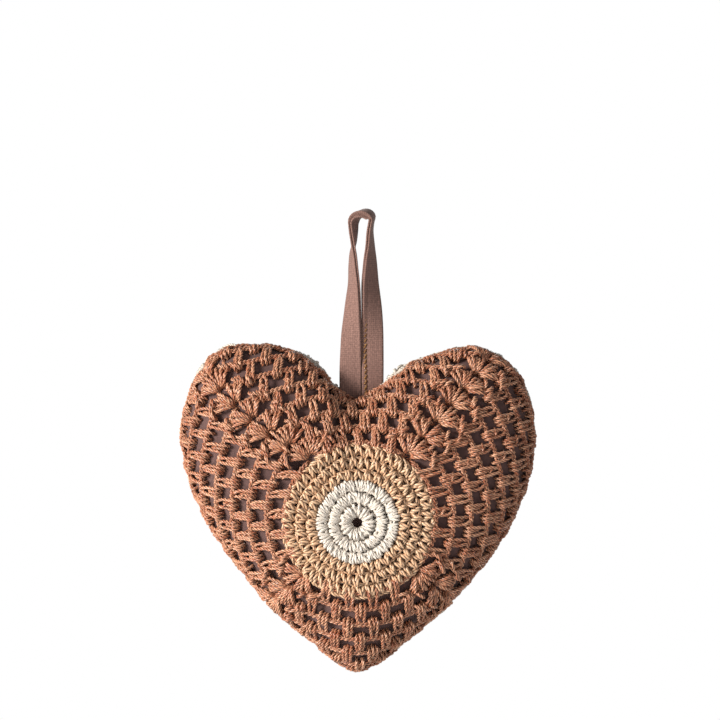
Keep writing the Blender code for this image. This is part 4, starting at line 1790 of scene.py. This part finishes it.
@dataclass
class CrochetHeart:
    """The whole heart: its forms, its yarns' plans, and the pieces in the order that they are made.

    The edges and counts are those of the close rounds, in millimetres and in stitches. Each row of the seam
    shifts is a bearing and a width in degrees, and how far the seam lies towards the front there.
    """

    seed: int = 7
    form: HeartForm = field(default_factory=HeartForm)
    back: HeartForm = field(default_factory=lambda: HeartForm(
        face=Face.BACK, front_depth=0.025, back_depth=0.027))
    cushion_inset: float = 3.0 * MM
    seam_shifts: tuple[tuple[float, float, float], ...] = (
        (75.0, 5.5, 6.5 * MM), (104.5, 5.5, 5.5 * MM), (48.5, 3.0, 3.0 * MM), (136.0, 3.0, 3.5 * MM),
        (35.5, 3.0, 3.0 * MM))
    front_rounds: int = 8
    front_cords: tuple[EdgeCord, ...] = (
        EdgeCord(0.6 * MM, -1.2 * MM, Winding(3, 0.68 * MM, 6.5 * MM), 0.7),
        EdgeCord(3.0 * MM, -1.0 * MM, Winding(2, 0.60 * MM, 5.0 * MM), 0.3))
    front_bumps: tuple[tuple[float, float, float], ...] = ((0.45 * MM, 47.0, 0.0), (0.35 * MM, 71.0, 1.3))
    back_rounds: int = 9
    back_cords: tuple[EdgeCord, ...] = (EdgeCord(2.3 * MM, -1.1 * MM, Winding(3, 0.66 * MM, 6.0 * MM)),)
    back_edges: tuple[tuple[float, float], ...] = ((2.6, 0.2), (7.8, 0.8), (13.4, 1.1), (19.2, 0.2))
    back_counts: tuple[int, ...] = (9, 16, 24)
    back_join: float = math.radians(60)
    rosette_lay: float = 8.5 * MM
    ecru_edges: tuple[tuple[float, float], ...] = ((2.5, 0.2), (8.0, 0.6), (13.1, 0.9), (18.5, 1.3))
    ecru_counts: tuple[int, ...] = (10, 17, 24)
    ecru_crease: float = 0.84
    tan_edges: tuple[tuple[float, float], ...] = ((17.9, 1.4), (22.9, 1.6), (28.0, 1.9), (33.4, 2.3))
    tan_counts: tuple[int, ...] = (31, 37, 43)
    tan_crease: float = 0.85
    last_row_shift: float = 0.5 * MM
    last_row_slant: float = 0.5 * MM
    last_row_drop: float = -0.5 * MM
    last_row_thickness: float = 0.85

    def front_lattice(self) -> Lattice:
        """Plans the front: corners from the upper right one on, and the sides between them.

        Returns:
            The plan.
        """
        corners = (Corner(first=52.5, settled=51.0, pitch=9.9 * MM),
                   Corner(first=124.7, settled=136.0, pitch=10.4 * MM),
                   Corner(first=224.0, settled=221.5, pitch=10.8 * MM),
                   Corner(first=320.5, settled=320.5, pitch=10.8 * MM))
        banks = (Bank("top", clusters=7, pitch=7.9 * MM, parted_share=0.1, filled_share=0.75),
                 Bank("left", clusters=7, pitch=8.35 * MM, parted_share=0.5, filled_share=0.15),
                 Bank("bottom", clusters=6, pitch=7.4 * MM, parted_share=0.3, filled_share=0.35),
                 Bank("right", clusters=7, pitch=8.25 * MM, parted_share=0.25, filled_share=0.1))
        return Lattice(self.form, corners, banks, start_radius=33.9 * MM, start_shift=(1.5 * MM, 2.1 * MM))

    def back_lattice(self) -> Lattice:
        """Plans the back, a plainer square about a smaller disc.

        Returns:
            The plan.
        """
        corners = tuple(Corner(bearing, bearing, pitch=10.4 * MM) for bearing in (51.0, 130.0, 222.0, 319.0))
        banks = tuple(Bank(name, clusters=5, pitch=8.2 * MM, parted_share=0.8)
                      for name in ("top", "left", "bottom", "right"))
        return Lattice(self.back, corners, banks, start_radius=18.6 * MM, start_shift=(0.0, 0.0))

    def dress(self, item: bpy.types.Object, node: str | None = None) -> bpy.types.Object:
        """Binds a piece to the body, hides the CAD node that it takes the place of, if any, and reports it.

        Args:
            item: the piece.
            node: the CAD node that it takes the place of, if any.

        Returns:
            The piece.
        """
        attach(item, "root")
        if node:
            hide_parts(node)
        LOG.info("%s: %d triangles", item.name, len(item.data.loops) - 2 * len(item.data.polygons))
        return item

    def build_openwork(self, work: Openwork, yarn: bpy.types.Material, name: str,
                       node: str) -> None:
        """Builds one face's openwork: the clusters side by side of the square, the bars and the rim.

        Args:
            work: the openwork.
            yarn: its material.
            name: what its pieces' names start with.
            node: the CAD node that it takes the place of.
        """
        for side, bank in enumerate(work.lattice.banks):
            posts = YarnMesh(work.rng)
            work.cluster_strands(posts, side)
            self.dress(posts.build(f"{name}_clusters_{bank.name}", yarn), node)
        bars = YarnMesh(work.rng)
        work.bar_strands(bars)
        self.dress(bars.build(f"{name}_chain_bars", yarn), node)
        rim = YarnMesh(work.rng)
        work.edge_cords(rim)
        self.dress(rim.build(f"{name}_rim", yarn), node)

    def build_front(self, yarn: bpy.types.Material) -> None:
        """Builds the brown openwork, whose edge is drawn in where the back shows past it.

        Args:
            yarn: the brown yarn.
        """
        rng = np.random.default_rng(self.seed)
        work = Openwork(self.front_lattice(), rng, self.front_rounds, self.front_cords,
                        drawn_in=self.seam_shifts, bumps=self.front_bumps)
        self.build_openwork(work, yarn, "front", "front_mesh")

    def build_back(self, yarn: bpy.types.Material) -> None:
        """Builds the off-white back: a closed disc, and openwork that comes round to the front in places.

        Args:
            yarn: the off-white yarn.
        """
        rng = np.random.default_rng(self.seed + 3)
        disc = YarnMesh(rng)
        rosette = Rosette(self.back, rng, LEAFY_ROUND, join_bearing=self.back_join)
        rosette.rounds(disc, self.back_edges, self.back_counts)
        self.dress(disc.build("back_disc", yarn), "back_panel")
        let_out = tuple((bearing, width, -length) for bearing, width, length in self.seam_shifts)
        work = Openwork(self.back_lattice(), rng, self.back_rounds, self.back_cords, drawn_in=let_out)
        self.build_openwork(work, yarn, "back", "back_panel")

    def build_rosette(self, ecru: bpy.types.Material, tan: bpy.types.Material) -> None:
        """Builds the disc's three ecru rounds, and the ring's tan ones with a last row along their edge.

        Args:
            ecru: the disc's yarn.
            tan: the ring's yarn.
        """
        rng = np.random.default_rng(self.seed + 1)
        disc = YarnMesh(rng, lay=self.rosette_lay, crease=self.ecru_crease)
        Rosette(self.form, rng, RIBBED_ROUND).rounds(disc, self.ecru_edges[:2], self.ecru_counts[:1])
        Rosette(self.form, rng, DENSE_ROUND).rounds(disc, self.ecru_edges[1:], self.ecru_counts[1:])
        self.dress(disc.build("ecru_rounds", ecru), "centre_rounds")
        ring = YarnMesh(rng, lay=self.rosette_lay, crease=self.tan_crease)
        rosette = Rosette(self.form, rng, LEAFY_ROUND)
        rosette.rounds(ring, self.tan_edges, self.tan_counts)
        stitches = self.tan_counts[-1]
        middle = TURN * np.arange(stitches) / stitches
        edge = self.form.walk_to(middle, rosette.boundary(middle, *self.tan_edges[-1]))
        rosette.braid(ring, middle, edge + self.last_row_shift, TURN / stitches, self.last_row_slant,
                      self.last_row_drop, self.last_row_thickness)
        self.dress(ring.build("tan_rounds", tan), "ring_rounds")

    def build_cushion(self, cloth: bpy.types.Material) -> None:
        """Builds the stuffed cushion.

        Args:
            cloth: its woven cotton.
        """
        item = Cushion(HeartForm(inset=self.cushion_inset)).build(cloth)
        self.dress(item, "cushion")

    def build_tape(self, cloth: bpy.types.Material, thread: bpy.types.Material) -> None:
        """Builds the hanging tape and its topstitching.

        Args:
            cloth: the tape's woven cotton.
            thread: the topstitching's thread.
        """
        tape = HangingTape(np.random.default_rng(self.seed + 2))
        item = self.dress(tape.build(cloth), "hanging_loop")
        stitches = self.dress(tape.topstitching(thread))
        tape.length()


def main() -> None:
    """Builds the studio and the heart's pieces in order, and reports each."""
    logging.basicConfig(level=logging.INFO, format="%(message)s")
    studio = Studio()
    studio.set_camera()
    studio.set_world()
    studio.set_floor()
    studio.set_lamps()

    # Each yarn's three colours are a painted crease shade, its own body colour and a painted highlight.
    ecru = CottonYarn("ecru_mercerised_cotton", "#D2C4B3", "#CDC4B9", "#D9D2C9", roughness=0.45).material()
    tan = CottonYarn("tan_mercerised_cotton", "#42230F", "#D8AA84", "#CEAE8D").material()
    brown = CottonYarn("brown_mercerised_cotton", "#28110A", "#A45F40", "#D29D7B").material()
    off_white = CottonYarn("off_white_cotton", "#958A7B", "#CBC1B4", "#E3DBD0", roughness=0.6).material()
    cloth = WovenCotton("mauve_plain_weave", "#3A2724", "#6C504C", thread=0.42 * MM, thread_depth=0.06 * MM,
                        weave_share=0.05).material()
    tape_cloth = WovenCotton("mauve_tape_weave", "#301E18", "#9B766B", thread=0.44 * MM,
                             thread_depth=0.09 * MM, weave_share=0.10, sheen=0.1, by_uv=True,
                             slub_threads=2.2).material()
    thread = CottonYarn("ochre_sewing_thread", "#3E2712", "#7F5429", "#AB7D45", plies=2).material()

    heart = CrochetHeart()
    heart.build_cushion(cloth)
    heart.build_front(brown)
    heart.build_rosette(ecru, tan)
    heart.build_back(off_white)
    heart.build_tape(tape_cloth, thread)


if __name__ == "__main__":
    main()
